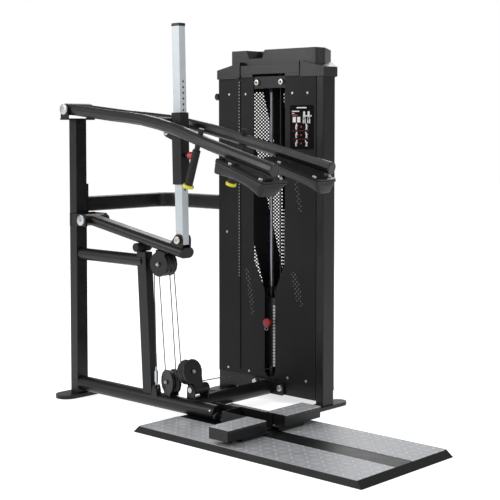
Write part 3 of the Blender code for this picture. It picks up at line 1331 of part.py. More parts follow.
def step_tread(name, side):
    """Checker sheet on one step, with a front lip whose lower corners are cut off."""
    bottom = STEP_TOP + GAP
    top = bottom + TREAD_THICKNESS
    low = bottom - STEP_LIP
    y = sorted((side * (STEP_INNER + STRAP_THICKNESS), side * STEP_OUTER))
    inside = STEP_FRONT + GAP
    front = inside + TREAD_THICKNESS
    sheet = slab([(STEP_BACK, bottom), (inside, bottom), (inside, low), (front, low),
                  (front, top), (STEP_BACK, top)],
                 facing_y((0, (y[0] + y[1]) / 2, 0)), y[1] - y[0])
    cutters = []
    for end, inward in zip(y, (1, -1)):
        outward = end - inward * STEP_LIP
        cutters.append(slab([(outward, low - STEP_LIP), (outward, low + STEP_LIP),
                             (end, low + STEP_LIP_CORNER), (end + inward * STEP_LIP_CORNER, low),
                             (end + inward * STEP_LIP_CORNER, low - STEP_LIP)],
                            facing_x((front, 0, 0)), 4 * TREAD_THICKNESS))
    finish(cut(sheet, *cutters), name, CHECKER_PLATE)


def step_frame():
    """Two footed step boxes on an open channel, with socket tubes and a strap to the rail."""
    bottom = TREAD_TOP + GAP
    inner = CHANNEL_HALF_WIDTH - CHANNEL_WALL
    floor = box((CHANNEL_BACK, -CHANNEL_HALF_WIDTH, bottom),
                (CHANNEL_FRONT, CHANNEL_HALF_WIDTH, bottom + CHANNEL_FLOOR))
    back = box((CHANNEL_BACK, -CHANNEL_HALF_WIDTH, bottom),
               (CHANNEL_BACK + CHANNEL_WALL, CHANNEL_HALF_WIDTH, CHANNEL_TOP))
    strap_y = RAIL_RADIUS + GAP
    strap = box((STRAP_BACK, strap_y, STRAP_BOTTOM),
                (CHANNEL_BACK + CHANNEL_WALL / 2, strap_y + STRAP_THICKNESS, STEP_TOP))
    pieces = [back, strap]
    for side in SIDES:
        wall_y = sorted((side * inner, side * CHANNEL_HALF_WIDTH))
        pieces.append(box((CHANNEL_BACK, wall_y[0], bottom), (CHANNEL_FRONT, wall_y[1],
                                                              CHANNEL_TOP)))
        step_y = sorted((side * STEP_INNER, side * STEP_OUTER))
        pieces.append(box((STEP_BACK, step_y[0], STEP_BOTTOM), (STEP_FRONT, step_y[1], STEP_TOP)))
        height = STEP_BOTTOM + GAP - bottom - GAP
        width = SOCKET_FRONT - SOCKET_BACK
        middle = bottom + GAP + height / 2
        pieces.append(slab(obround(width, height, 4),
                           facing_y(((SOCKET_BACK + SOCKET_FRONT) / 2,
                                     side * (SOCKET_INNER + SOCKET_OUTER) / 2, middle)),
                           SOCKET_OUTER - SOCKET_INNER))
        pieces.append(rod((STEP_FOOT_X, side * STEP_FOOT_Y, bottom),
                          (STEP_FOOT_X, side * STEP_FOOT_Y, (STEP_BOTTOM + STEP_TOP) / 2),
                          STEP_FOOT_RADIUS, 16))
    frame = fuse(floor, *pieces)
    mouths = []
    for side in SIDES:
        width = SOCKET_FRONT - SOCKET_BACK - 2 * SOCKET_WALL
        height = STEP_BOTTOM - bottom - GAP - 2 * SOCKET_WALL
        middle = bottom + GAP + (STEP_BOTTOM - bottom) / 2
        start = SOCKET_INNER - SOCKET_WALL
        end = SOCKET_OUTER - SOCKET_WALL
        mouths.append(slab(obround(width, height, 4),
                           facing_y(((SOCKET_BACK + SOCKET_FRONT) / 2, side * (start + end) / 2,
                                     middle)), end - start))
    finish(cut(frame, *mouths), "step_frame", BLACK_STEEL)


def bolt(x, y, z):
    """Large bolt head on a face that looks towards the rail, sunk a little into it."""
    return rod((x, y - BOLT_HEAD, z), (x, y + BOLT_HEAD / 4, z), BOLT_RADIUS, 20)


def swivel_bolt():
    """Bolt through the swivel's two lugs, with a flat head at each end."""
    near = SWIVEL_NEAR_LUG - GAP
    far = SWIVEL_FAR_LUG + SWIVEL_FAR_LUG_THICKNESS + GAP
    head = BOLT_HEAD / 2
    shaft = rod((SWIVEL_X, near - head / 2, SWIVEL_Z), (SWIVEL_X, far + head / 2, SWIVEL_Z),
                SWIVEL_BOLT_RADIUS, 12)
    near_head = rod((SWIVEL_X, near - head, SWIVEL_Z), (SWIVEL_X, near, SWIVEL_Z),
                    SWIVEL_HEAD_RADIUS, 12)
    far_head = rod((SWIVEL_X, far, SWIVEL_Z), (SWIVEL_X, far + head, SWIVEL_Z),
                   SWIVEL_HEAD_RADIUS, 12)
    finish(fuse(shaft, near_head, far_head), "swivel_bolt", ZINC)


def arm_pivot_shaft(parent):
    """Shaft through the arms' hub with a flat disc at each end."""
    reach = ARM_HUB_LENGTH / 2 + 2 * GAP + ARM_EAR_THICKNESS
    shaft = rod((0, -reach - DISC_THICKNESS / 2, ARM_PIVOT_Z),
                (0, reach + DISC_THICKNESS / 2, ARM_PIVOT_Z), ARM_SHAFT_RADIUS, 16)
    discs = []
    for side in SIDES:
        discs.append(rod((0, side * reach, ARM_PIVOT_Z),
                         (0, side * (reach + DISC_THICKNESS), ARM_PIVOT_Z), DISC_RADIUS, 24))
    finish(fuse(shaft, *discs), "arm_pivot_shaft", ZINC, ARM_PIVOT, parent)


def arm_path(side):
    """Centre line of one shoulder arm."""
    return smooth_path([(x, side * y, ARM_PIVOT_Z + z) for x, y, z in ARM_ROUTE], 2)


def handle_point(place, side):
    """Point of a handle bar's centre line."""
    return Vector((place[0], side * HANDLE_Y, ARM_PIVOT_Z + place[1]))


def arm_end_cap(side):
    """Plug on the front end of one arm, a little narrower than the tube."""
    path = arm_path(side)
    along = (path[-1] - path[-2]).normalized()
    return rod(path[-1] - along * ARM_CAP_THICKNESS, path[-1] + along * ARM_CAP_THICKNESS,
               ARM_RADIUS - ARM_CAP_THICKNESS / 2, 16)


def arm_frame(parent):
    """Two bent arms on one hub, their tie tube with the column's tongue, and two handle bars."""
    hub = rod((0, -ARM_HUB_LENGTH / 2, ARM_PIVOT_Z), (0, ARM_HUB_LENGTH / 2, ARM_PIVOT_Z),
              ARM_HUB_RADIUS, 20)
    tie_z = ARM_PIN.z + ARM_TIE_ABOVE_PIN
    path = arm_path(1)
    before = max((p for p in path if p.x <= ARM_PIN_X), key=lambda p: p.x)
    after = min((p for p in path if p.x > ARM_PIN_X), key=lambda p: p.x)
    share = (ARM_PIN_X - before.x) / (after.x - before.x)
    tie_y = before.y + (after.y - before.y) * share
    tie = rod((ARM_PIN_X, -tie_y, tie_z), (ARM_PIN_X, tie_y, tie_z), ARM_TIE_RADIUS, 16)
    tongue_half = COLUMN_DEPTH / 2 + GAP
    outline = lug((ARM_PIN.x, ARM_PIN.z), TONGUE_RADIUS, (ARM_PIN.x + TONGUE_RADIUS, tie_z),
                  (ARM_PIN.x - TONGUE_RADIUS, tie_z))
    tongue = slab(outline, facing_y((0, 0, 0)), 2 * tongue_half - 4 * GAP)
    arms = [pipe(arm_path(side), ARM_RADIUS, 3) for side in SIDES]
    arms += [arm_end_cap(side) for side in SIDES]
    bars = [rod(handle_point(HANDLE_TOP, side), handle_point(HANDLE_END, side), HANDLE_RADIUS, 12)
            for side in SIDES]
    frame = fuse(hub, *arms, tie, tongue, *bars)
    bore = rod((0, -ARM_HUB_LENGTH, ARM_PIVOT_Z), (0, ARM_HUB_LENGTH, ARM_PIVOT_Z),
               ARM_SHAFT_RADIUS + RUNNING_GAP, 16)
    finish(cut(frame, bore), "arm_frame", BLACK_STEEL, ARM_PIVOT, parent)


def handle_sleeve(side, radius, start, end):
    """Round sleeve on a handle bar, between two distances from the bar's lower end."""
    low = handle_point(HANDLE_END, side)
    along = (handle_point(HANDLE_TOP, side) - low).normalized()
    return rod(low + along * start, low + along * end, radius, 12)


def grip(name, side, parent):
    """Rubber grip with its ring at the lower end of a handle bar."""
    sleeve_end = RING_LENGTH + GRIP_LENGTH
    rubber = handle_sleeve(side, GRIP_RADIUS, RING_LENGTH / 2, sleeve_end)
    ring = handle_sleeve(side, RING_RADIUS, 0, RING_LENGTH)
    bore = handle_sleeve(side, HANDLE_RADIUS + GAP, -RING_LENGTH, sleeve_end + RING_LENGTH)
    finish(cut(fuse(rubber, ring), bore), name, RUBBER, ARM_PIVOT, parent)


def pad_frame(side):
    """Frame of one shoulder pad's plate: X forward and down, Y across, Z out of its top."""
    place = Matrix.Translation((PAD_X, side * PAD_Y, ARM_PIVOT_Z - PAD_DROP))
    return place @ Matrix.Rotation(side * PAD_YAW, 4, "Z") @ Matrix.Rotation(PAD_PITCH, 4, "Y")


def pad_plate(name, side, parent):
    """Steel plate over a pad, with its saddle up to the arm and four bolt heads."""
    half = PAD_PLATE / 2
    frame = pad_frame(side)
    plate = slab(rounded_box(PAD_LENGTH, PAD_WIDTH, PAD_EDGE), frame, PAD_PLATE)
    outline = [(SADDLE_BACK, 0), (SADDLE_FRONT, 0), (SADDLE_FRONT, half + ARM_RADIUS),
               (SADDLE_BACK, half + ARM_RADIUS / 2)]
    saddle = slab(outline, frame @ facing_y((0, side * SADDLE_SHIFT, 0)), 2 * SADDLE_HALF_WIDTH)
    saddle = cut(saddle, pipe(arm_path(side), ARM_RADIUS + GAP, 3))
    heads = []
    for x in (PAD_BOLT_BACK, PAD_BOLT_FRONT):
        for y in (-PAD_BOLT_SIDE, PAD_BOLT_SIDE):
            heads.append(rod((x, y, 0), (x, y, half + PAD_BOLT_HEAD), PAD_BOLT_RADIUS, 12, frame))
    finish(fuse(plate, saddle, *heads), name, BLACK_STEEL, ARM_PIVOT, parent)


def pad_depth(t):
    """Depth of a pad at a share of its length, from -1 at the back to 1 at the front."""
    ends = (PAD_BACK_DEPTH + PAD_FRONT_DEPTH) / 2
    lean = (PAD_FRONT_DEPTH - PAD_BACK_DEPTH) / 2
    return PAD_MIDDLE_DEPTH + (ends - PAD_MIDDLE_DEPTH) * t * t + lean * t


def shoulder_pad(name, side, parent):
    """Upholstered pad with an arched underside and a slanted inner side."""
    bm = bmesh.new()
    size = Vector((PAD_LENGTH, PAD_WIDTH, 1))
    bmesh.ops.create_cube(bm, size=1, matrix=Matrix.Diagonal((*size, 1)))
    edge_x = PAD_LENGTH / 2 - PAD_EDGE
    edge_y = PAD_WIDTH / 2 - PAD_EDGE
    cuts = [((x, 0, 0), (1, 0, 0)) for x in (-edge_x, -edge_x / 2, 0, edge_x / 2, edge_x)]
    cuts += [((0, y, 0), (0, 1, 0)) for y in (-edge_y, 0, edge_y)]
    cuts += [((0, 0, z), (0, 0, 1)) for z in PAD_LEVELS]
    for place, normal in cuts:
        bmesh.ops.bisect_plane(bm, geom=bm.verts[:] + bm.edges[:] + bm.faces[:], plane_co=place,
                               plane_no=normal)
    top = -PAD_PLATE / 2 - GAP
    for vertex in bm.verts:
        t = vertex.co.x / (PAD_LENGTH / 2)
        across = vertex.co.y / (PAD_WIDTH / 2) * side
        down = 0.5 - vertex.co.z
        crown = 1 + PAD_CROWN * (1 - across * across)
        inner = max(0.0, -across) * PAD_INNER_SLANT * down ** PAD_SLANT_POWER
        outer = max(0.0, across) * PAD_OUTER_SLANT * down
        vertex.co.y += side * (inner - outer)
        vertex.co.x -= max(0.0, t) * PAD_FRONT_SLANT * down
        vertex.co.z = top - down * pad_depth(t) * crown / (1 + PAD_CROWN)
    bmesh.ops.recalc_face_normals(bm, faces=bm.faces)
    mesh = bpy.data.meshes.new(name)
    bm.to_mesh(mesh)
    bm.free()
    pad = add_object(name, mesh)
    pad.matrix_world = pad_frame(side)
    smooth = pad.modifiers.new("Subdivision", "SUBSURF")
    smooth.levels = 1
    smooth.render_levels = 1
    finish(settle(pad), name, PAD_VINYL, ARM_PIVOT, parent)


def ear_offset():
    """Middle plane of the lever's ears beside the column."""
    return COLUMN_DEPTH / 2 + 2 * GAP + GAP + COLUMN_EAR_THICKNESS / 2


def lower_lever(parent):
    """Flat-sided lever with its hub and the two ears that hold the column."""
    beam = slab(obround(LEVER_WIDTH, LEVER_HEIGHT, 8), LEVER_FRAME @ facing_x((LEVER_LENGTH / 2, 0, 0)),
                LEVER_LENGTH)
    hub = rod((0, -LEVER_HUB_LENGTH / 2, 0), (0, LEVER_HUB_LENGTH / 2, 0), LEVER_HUB_RADIUS, 20,
              LEVER_FRAME)
    low = LEVER_HEIGHT / 4
    ears = []
    for side in SIDES:
        outline = lug((COLUMN_PIVOT_ALONG, COLUMN_PIVOT_ABOVE), COLUMN_EAR_RADIUS,
                      (COLUMN_PIVOT_ALONG - 2 * COLUMN_EAR_RADIUS, low),
                      (COLUMN_PIVOT_ALONG + COLUMN_EAR_FRONT, low))
        bore = circle((COLUMN_PIVOT_ALONG, COLUMN_PIVOT_ABOVE), COLUMN_BOLT_RADIUS + GAP, 16)
        ears.append(slab(outline, LEVER_FRAME @ facing_y((0, side * ear_offset(), 0)),
                         COLUMN_EAR_THICKNESS, [bore]))
    pieces = lever_stubs() + [lever_end_cap()]
    finish(fuse(beam, hub, *ears, *pieces), "lower_lever", BLACK_STEEL, LEVER_PIVOT, parent)


def lever_end_cap():
    """Plug on the lever's front end."""
    return slab(obround(LEVER_WIDTH - LEVER_CAP_THICKNESS, LEVER_HEIGHT - LEVER_CAP_THICKNESS, 8),
                LEVER_FRAME @ facing_x((LEVER_LENGTH, 0, 0)), 2 * LEVER_CAP_THICKNESS)


def lever_stubs():
    """Stub axles at both ends of the lever's hub, each with a flat disc outside its ear."""
    pieces = []
    start = LEVER_HUB_LENGTH / 2
    seat = start + 2 * GAP + BRACKET_EAR_THICKNESS
    for side in SIDES:
        pieces.append(rod((0, side * (start - DISC_THICKNESS), 0),
                          (0, side * (seat + DISC_THICKNESS / 2), 0), LEVER_STUB_RADIUS, 16,
                          LEVER_FRAME))
        pieces.append(rod((0, side * seat, 0), (0, side * (seat + DISC_THICKNESS), 0), DISC_RADIUS,
                          24, LEVER_FRAME))
    return pieces


def column_bolt(parent):
    """Bolt through the lever's ears and the column, with a flat head at each end."""
    reach = ear_offset() + COLUMN_EAR_THICKNESS / 2 + GAP
    place = LEVER_FRAME @ Matrix.Translation((COLUMN_PIVOT_ALONG, 0, COLUMN_PIVOT_ABOVE))
    shaft = rod((0, -reach - BOLT_HEAD / 2, 0), (0, reach + BOLT_HEAD / 2, 0), COLUMN_BOLT_RADIUS,
                16, place)
    heads = [rod((0, side * reach, 0), (0, side * (reach + BOLT_HEAD), 0),
                 COLUMN_BOLT_HEAD_RADIUS, 20, place) for side in SIDES]
    finish(fuse(shaft, *heads), "column_bolt", ZINC, LEVER_PIVOT, parent)


def pulley_hanger(parent):
    """Plate under the lever with two round cheeks and the axle of both upper pulleys."""
    offset = UPPER_WHEEL_Y + guard_offset(UPPER_WHEEL_WIDTH)
    outer = offset + GUARD_THICKNESS / 2
    top = -LEVER_HEIGHT / 2 - GAP
    plate = box((UPPER_WHEEL_ALONG - GUARD_NECK, -outer, top - HANGER_PLATE),
                (UPPER_WHEEL_ALONG + GUARD_NECK, outer, top), LEVER_FRAME)
    cheeks = []
    center = (UPPER_WHEEL_ALONG, -UPPER_WHEEL_BELOW)
    for side in SIDES:
        cheeks.append(slab(cheek_outline(center, top), LEVER_FRAME @ facing_y((0, side * offset, 0)),
                           GUARD_THICKNESS))
    shaft = axle((UPPER_WHEEL_ALONG, -outer, -UPPER_WHEEL_BELOW),
                 (UPPER_WHEEL_ALONG, outer, -UPPER_WHEEL_BELOW), LEVER_FRAME)
    finish(fuse(plate, *cheeks, shaft), "pulley_hanger", BLACK_STEEL, LEVER_PIVOT, parent)


def column(parent):
    """Square tube with a row of holes in its front face and a bore for its pivot bolt."""
    inner_width = COLUMN_WIDTH - 2 * COLUMN_WALL
    inner_depth = COLUMN_DEPTH - 2 * COLUMN_WALL
    middle = (COLUMN_ABOVE - COLUMN_BELOW) / 2
    tube = slab(rounded_box(COLUMN_WIDTH, COLUMN_DEPTH, COLUMN_CORNER),
                COLUMN_FRAME @ facing_z((0, 0, middle)), COLUMN_ABOVE + COLUMN_BELOW,
                [rectangle((-inner_width / 2, -inner_depth / 2), (inner_width / 2, inner_depth / 2))])
    bore = rod((0, -COLUMN_WIDTH, 0), (0, COLUMN_WIDTH, 0), COLUMN_BOLT_RADIUS + RUNNING_GAP, 16,
               COLUMN_FRAME)
    holes = []
    first = KNOB_HEIGHT - 6 * HOLE_PITCH
    for i in range(HOLE_COUNT):
        height = first + i * HOLE_PITCH
        holes.append(rod((COLUMN_WIDTH / 4, 0, height), (COLUMN_WIDTH, 0, height), HOLE_RADIUS, 6,
                         COLUMN_FRAME))
    finish(cut(tube, bore, gather(holes)), "column", SILVER_TUBE, COLUMN_PIVOT, parent)


def column_cap(parent):
    """Plug in the column's top."""
    half_width = COLUMN_WIDTH / 2
    half_depth = COLUMN_DEPTH / 2
    low = COLUMN_ABOVE + GAP
    plate = box((-half_width, -half_depth, low), (half_width, half_depth, low + COLUMN_CAP_HEIGHT),
                COLUMN_FRAME)
    fit = COLUMN_WALL + 2 * GAP
    plug = box((fit - half_width, fit - half_depth, low - 4 * COLUMN_CAP_HEIGHT),
               (half_width - fit, half_depth - fit, low + COLUMN_CAP_HEIGHT / 2), COLUMN_FRAME)
    finish(fuse(plate, plug), "column_cap", BLACK_PLASTIC, COLUMN_PIVOT, parent)


def sleeve(parent):
    """Square sleeve on the column, with the arms' ears behind it and the knob's collar in front."""
    depth = COLUMN_DEPTH + 2 * GAP + 2 * SLEEVE_SIDE_WALL
    opening = rectangle((-COLUMN_WIDTH / 2 - GAP, -COLUMN_DEPTH / 2 - GAP),
                        (COLUMN_WIDTH / 2 + GAP, COLUMN_DEPTH / 2 + GAP))
    tube = slab(rounded_box(2 * SLEEVE_BACK, depth, SLEEVE_CORNER),
                COLUMN_FRAME @ facing_z((0, 0, (SLEEVE_BOTTOM + SLEEVE_TOP) / 2)),
                SLEEVE_TOP - SLEEVE_BOTTOM, [opening])
    pieces = []
    center = (PIN_IN_COLUMN.x, PIN_IN_COLUMN.z)
    base_x = -SLEEVE_BACK + SLEEVE_WALL / 3
    outline = lug(center, SLEEVE_EAR_RADIUS, (base_x, center[1] - SLEEVE_EAR_REACH),
                  (base_x, center[1] + SLEEVE_EAR_REACH))
    for side in SIDES:
        offset = side * (depth / 2 - SLEEVE_EAR_THICKNESS / 2)
        pieces.append(slab(outline, COLUMN_FRAME @ facing_y((0, offset, 0)), SLEEVE_EAR_THICKNESS))
        outer = depth / 2
        pieces.append(rod((center[0], side * (outer - SLEEVE_EAR_THICKNESS / 2), center[1]),
                          (center[0], side * (outer + SLEEVE_BOLT_HEAD), center[1]),
                          SLEEVE_BOLT_RADIUS, 16, COLUMN_FRAME))
    pieces.append(rod((SLEEVE_BACK - SLEEVE_WALL / 2, 0, KNOB_HEIGHT), (COLLAR_END, 0, KNOB_HEIGHT),
                      COLLAR_RADIUS, 16, COLUMN_FRAME))
    bore = rod((COLUMN_WIDTH / 2 - COLUMN_WALL, 0, KNOB_HEIGHT),
               (COLLAR_END + COLLAR_LENGTH, 0, KNOB_HEIGHT), KNOB_PIN_RADIUS + RUNNING_GAP, 16,
               COLUMN_FRAME)
    finish(cut(fuse(tube, *pieces), bore), "sleeve", BLACK_STEEL, parent.location, parent)


def adjuster_knob(parent):
    """Red pull knob whose pin runs in the collar and ends in the sleeve's wall."""
    start = COLLAR_END + GAP
    tip = SLEEVE_BACK - KNOB_PIN_IN_WALL
    knob = rod((start, 0, KNOB_HEIGHT), (start + KNOB_LENGTH, 0, KNOB_HEIGHT), KNOB_RADIUS, 20,
               COLUMN_FRAME)
    pin = rod((tip, 0, KNOB_HEIGHT), (start + KNOB_LENGTH / 2, 0, KNOB_HEIGHT), KNOB_PIN_RADIUS,
              12, COLUMN_FRAME)
    place = COLUMN_FRAME @ Vector((COLLAR_END, 0, KNOB_HEIGHT))
    empty = axis_empty("adjuster_axis", place, parent)
    finish(fuse(knob, pin), "adjuster_knob", RED_PLASTIC, place, empty)


def swivel_bracket(parent):
    """Tube on the swivel bolt with two necked cheeks that hold the swivel pulley."""
    start = SWIVEL_NEAR_LUG + SWIVEL_NEAR_LUG_THICKNESS + GAP
    end = SWIVEL_FAR_LUG - GAP
    tube = rod((0, start, 0), (0, end, 0), SWIVEL_RADIUS, 20, SWIVEL_FRAME)
    offset = guard_offset(WHEEL_WIDTH)
    pieces = []
    for side in SIDES:
        disc = circle((SWIVEL_WHEEL_Y, SWIVEL_WHEEL_RISE), GUARD_RADIUS, 16)
        place = SWIVEL_FRAME @ facing_x((side * offset, 0, 0))
        pieces.append(slab(disc, place, GUARD_THICKNESS))
        neck = rectangle((start, 0), (SWIVEL_WHEEL_Y + SWIVEL_NECK, SWIVEL_WHEEL_RISE))
        pieces.append(slab(neck, place, GUARD_THICKNESS))
    reach = offset + GUARD_THICKNESS / 2
    shaft = axle((-reach, SWIVEL_WHEEL_Y, SWIVEL_WHEEL_RISE),
                 (reach, SWIVEL_WHEEL_Y, SWIVEL_WHEEL_RISE), SWIVEL_FRAME)
    bore = rod((0, -SWIVEL_FAR_LUG, 0), (0, 2 * SWIVEL_FAR_LUG, 0),
               SWIVEL_BOLT_RADIUS + RUNNING_GAP, 16, SWIVEL_FRAME)
    bracket = cut(fuse(tube, *pieces, shaft), bore)
    finish(bracket, "swivel_bracket", BLACK_STEEL, parent.location, parent)


def strand_direction(start, end):
    """Unit direction from one point of the XZ plane to another."""
    across = end.x - start.x
    up = end.z - start.z
    length = math.hypot(across, up)
    return across / length, up / length


def upper_contact(normal, side):
    """Point where a strand leaves an upper pulley, from the outward normal of the strand."""
    return Vector((UPPER_WHEEL.x + WHEEL_PITCH_RADIUS * normal[0], side * UPPER_WHEEL_Y,
                   UPPER_WHEEL.z + WHEEL_PITCH_RADIUS * normal[1]))


def lower_contact(angle):
    """Point on the lower pulley's pitch circle at an angle from its front."""
    return LOWER_FRAME @ Vector((WHEEL_PITCH_RADIUS * math.cos(angle), 0,
                                 WHEEL_PITCH_RADIUS * math.sin(angle)))


def swivel_contact(angle):
    """Point on the swivel pulley's pitch circle at an angle from its far side."""
    return SWIVEL_FRAME @ Vector((0, SWIVEL_WHEEL_Y + WHEEL_PITCH_RADIUS * math.cos(angle),
                                  SWIVEL_WHEEL_RISE + WHEEL_PITCH_RADIUS * math.sin(angle)))


def loop_angle():
    """Lean of the strands between the upper pulleys and the lower one."""
    across, up = strand_direction(UPPER_WHEEL, LOWER_WHEEL)
    return math.atan2(across, -up)


def anchor_angle():
    """Lean of the strand from the near upper pulley to the turnbuckle."""
    top = Vector((ANCHOR_X, 0, ANCHOR_Z + TURNBUCKLE_LENGTH))
    across = UPPER_WHEEL.x - top.x
    up = UPPER_WHEEL.z - top.z
    return math.atan2(across, up) - math.asin(WHEEL_PITCH_RADIUS / math.hypot(across, up))


def end_lean():
    """Lean across Y of the strand between the far upper pulley and the swivel pulley."""
    rise = UPPER_WHEEL.z - SWIVEL_WHEEL.z
    return math.atan2(UPPER_WHEEL_Y - SWIVEL_WHEEL_Y + WHEEL_PITCH_RADIUS, rise)


def run_slope():
    """Downward slope of the cable from the swivel pulley to the base pulley."""
    drop = swivel_contact(-math.pi / 2).z - (BASE_WHEEL_Z - WHEEL_PITCH_RADIUS)
    return math.atan2(drop, BASE_WHEEL_Y - SWIVEL_WHEEL_Y)


def trimmed(points, amount):
    """Cable points shortened at both ends, so that neighbours don't touch."""
    points = [Vector(point) for point in points]
    first = (points[1] - points[0]).normalized() * amount
    last = (points[-2] - points[-1]).normalized() * amount
    return [points[0] + first] + points[1:-1] + [points[-1] + last]


def upper_wrap(side, start, end, steps=14):
    """Points over an upper pulley between two angles from its front."""
    points = []
    for i in range(steps + 1):
        angle = start + (end - start) * i / steps
        points.append(upper_contact((math.cos(angle), math.sin(angle)), side))
    return points


def cable(points, trim, name, pivot=(0, 0, 0), parent=None):
    """One length of the cable, trimmed clear of its neighbours."""
    finish(pipe(trimmed(points, trim), CABLE_RADIUS), name, CABLE_COAT, pivot, parent)


def cable_upper_wraps(parent):
    """Cable over each of the two upper pulleys."""
    near = upper_wrap(-1, loop_angle(), math.pi - anchor_angle())
    far = upper_wrap(1, SWIVEL_TILT, math.pi + loop_angle())
    cable(near, GAP, "cable_near_wrap", LEVER_PIVOT, parent)
    cable(far, GAP, "cable_far_wrap", LEVER_PIVOT, parent)


def cable_strands():
    """The four strands under the upper pulleys, in the cable's order from its fixed end."""
    lean = loop_angle()
    turn = math.pi - anchor_angle()
    anchor = (ANCHOR_X, -UPPER_WHEEL_Y, ANCHOR_Z + TURNBUCKLE_LENGTH)
    cable((anchor, upper_contact((math.cos(turn), math.sin(turn)), -1)), STRAND_GAP,
          "cable_anchor_strand")
    cable((lower_contact(lean), upper_contact((math.cos(lean), math.sin(lean)), -1)), STRAND_GAP,
          "cable_down_strand")
    turn = lean + math.pi
    cable((lower_contact(turn), upper_contact((math.cos(turn), math.sin(turn)), 1)), STRAND_GAP,
          "cable_up_strand")
    cable((swivel_contact(math.pi - end_lean()),
           upper_contact((math.cos(SWIVEL_TILT), math.sin(SWIVEL_TILT)), 1)), STRAND_GAP,
          "cable_swivel_strand")


def cable_swivel_wrap(parent):
    """Cable under the swivel pulley, from its near side to its bottom."""
    start = math.pi - end_lean()
    end = 1.5 * math.pi - run_slope()
    points = [swivel_contact(start + (end - start) * i / 8) for i in range(9)]
    cable(points, GAP, "cable_swivel_wrap", parent.location, parent)


def tower_wrap(center_y, center_z, radius, start, end, steps):
    """Points on a pitch circle of a tower pulley, between two angles from its back."""
    return [(TOWER_X, y, z) for y, z in arc((center_y, center_z), radius, start, end, steps)]


def cable_lower_wrap():
    """Cable under the lower pulley."""
    lean = loop_angle()
    cable([lower_contact(lean - math.pi * i / 14) for i in range(15)], GAP, "cable_lower_wrap")


def cable_tower_run():
    """Cable from the swivel pulley along the floor, up the tower's back and over the top."""
    slope = run_slope()
    back_y = BASE_WHEEL_Y + WHEEL_PITCH_RADIUS
    over_y = TOP_WHEEL_Y + TOP_WHEEL_PITCH_RADIUS
    climb = math.atan2(over_y - back_y, TOP_WHEEL_Z - BASE_WHEEL_Z)
    route = [swivel_contact(-math.pi / 2 - slope)]
    route += tower_wrap(BASE_WHEEL_Y, BASE_WHEEL_Z, WHEEL_PITCH_RADIUS, -math.pi / 2 - slope,
                        -climb, 8)
    route += tower_wrap(TOP_WHEEL_Y, TOP_WHEEL_Z, TOP_WHEEL_PITCH_RADIUS, -climb, math.pi, 16)
    cable(route, 2 * GAP, "cable_tower_run")


def cable_stack_drop():
    """Cable from the top pulley down to the stack's stud."""
    points = [(TOWER_X, STACK_ROD_Y, STUD_TOP), (TOWER_X, STACK_ROD_Y, TOP_WHEEL_Z)]
    cable(points, GAP, "cable_stack_drop")


def pulleys(lever_axis, swivel_axis):
    """The six grooved pulleys, each on an empty of its own axle."""
    places = (
        ("near_upper_pulley", UPPER_WHEEL + Vector((0, -UPPER_WHEEL_Y, 0)), UPPER_WHEEL_WIDTH,
         WHEEL_PITCH_RADIUS, LEVER_FRAME.to_3x3() @ Vector((0, 1, 0)), lever_axis),
        ("far_upper_pulley", UPPER_WHEEL + Vector((0, UPPER_WHEEL_Y, 0)), UPPER_WHEEL_WIDTH,
         WHEEL_PITCH_RADIUS, LEVER_FRAME.to_3x3() @ Vector((0, 1, 0)), lever_axis),
        ("lower_pulley", LOWER_WHEEL, WHEEL_WIDTH, WHEEL_PITCH_RADIUS,
         LOWER_FRAME.to_3x3() @ Vector((0, 1, 0)), None),
        ("swivel_pulley", SWIVEL_WHEEL, WHEEL_WIDTH, WHEEL_PITCH_RADIUS,
         SWIVEL_FRAME.to_3x3() @ Vector((1, 0, 0)), swivel_axis),
        ("base_pulley", Vector((TOWER_X, BASE_WHEEL_Y, BASE_WHEEL_Z)), WHEEL_WIDTH,
         WHEEL_PITCH_RADIUS, Vector((1, 0, 0)), None),
        ("top_pulley", Vector((TOWER_X, TOP_WHEEL_Y, TOP_WHEEL_Z)), TOP_WHEEL_WIDTH,
         TOP_WHEEL_PITCH_RADIUS, Vector((1, 0, 0)), None),
    )
    for name, center, width, radius, along, parent in places:
        turn = along.to_track_quat("Z", "Y").to_matrix().to_4x4()
        solid = wheel(radius, width, Matrix.Translation(center) @ turn)
        empty = axis_empty(name + "_axis", center, parent)
        finish(solid, name, BLACK_PLASTIC, center, empty)


def build_frame():
    """Everything round the rear post and the floor rail that stands still."""
    rear_post()
    main_rail()
    lever_post()
    stop_bumper()
    brace()
    cross_beam()
    lower_pulley_guard()
    turnbuckle()
    swivel_bolt()
    platform_base()
    step_frame()
    for suffix, side in (("near", -1), ("far", 1)):
        lane_plate("lane_" + suffix, side)
        step_tread("step_tread_" + suffix, side)


def build_tower():
    """The weight tower's still pieces and its moving stack."""
    tower_base()
    tower_upright_left()
    tower_upright_right()
    front_panel()
    back_cover()
    top_cap()
    placard()
    guide_rod("guide_rod_left", -1)
    guide_rod("guide_rod_right", 1)
    stack_top_bracket()
    lower_plates()
    stack_axis = axis_empty("stack_axis", (TOWER_X, STACK_ROD_Y, HEAD_BOTTOM))
    selector_head(stack_axis)
    selector_pin(stack_axis)


def build_arms():
    """The shaft and the shoulder arms that turn on it."""
    shaft_axis = axis_empty("arm_shaft_axis", ARM_PIVOT)
    arm_pivot_shaft(shaft_axis)
    arm_axis = axis_empty("arm_axis", ARM_PIVOT, shaft_axis)
    arm_frame(arm_axis)
    for suffix, side in (("near", -1), ("far", 1)):
        grip("grip_" + suffix, side, arm_axis)
        pad_plate("pad_plate_" + suffix, side, arm_axis)
        shoulder_pad("shoulder_pad_" + suffix, side, arm_axis)


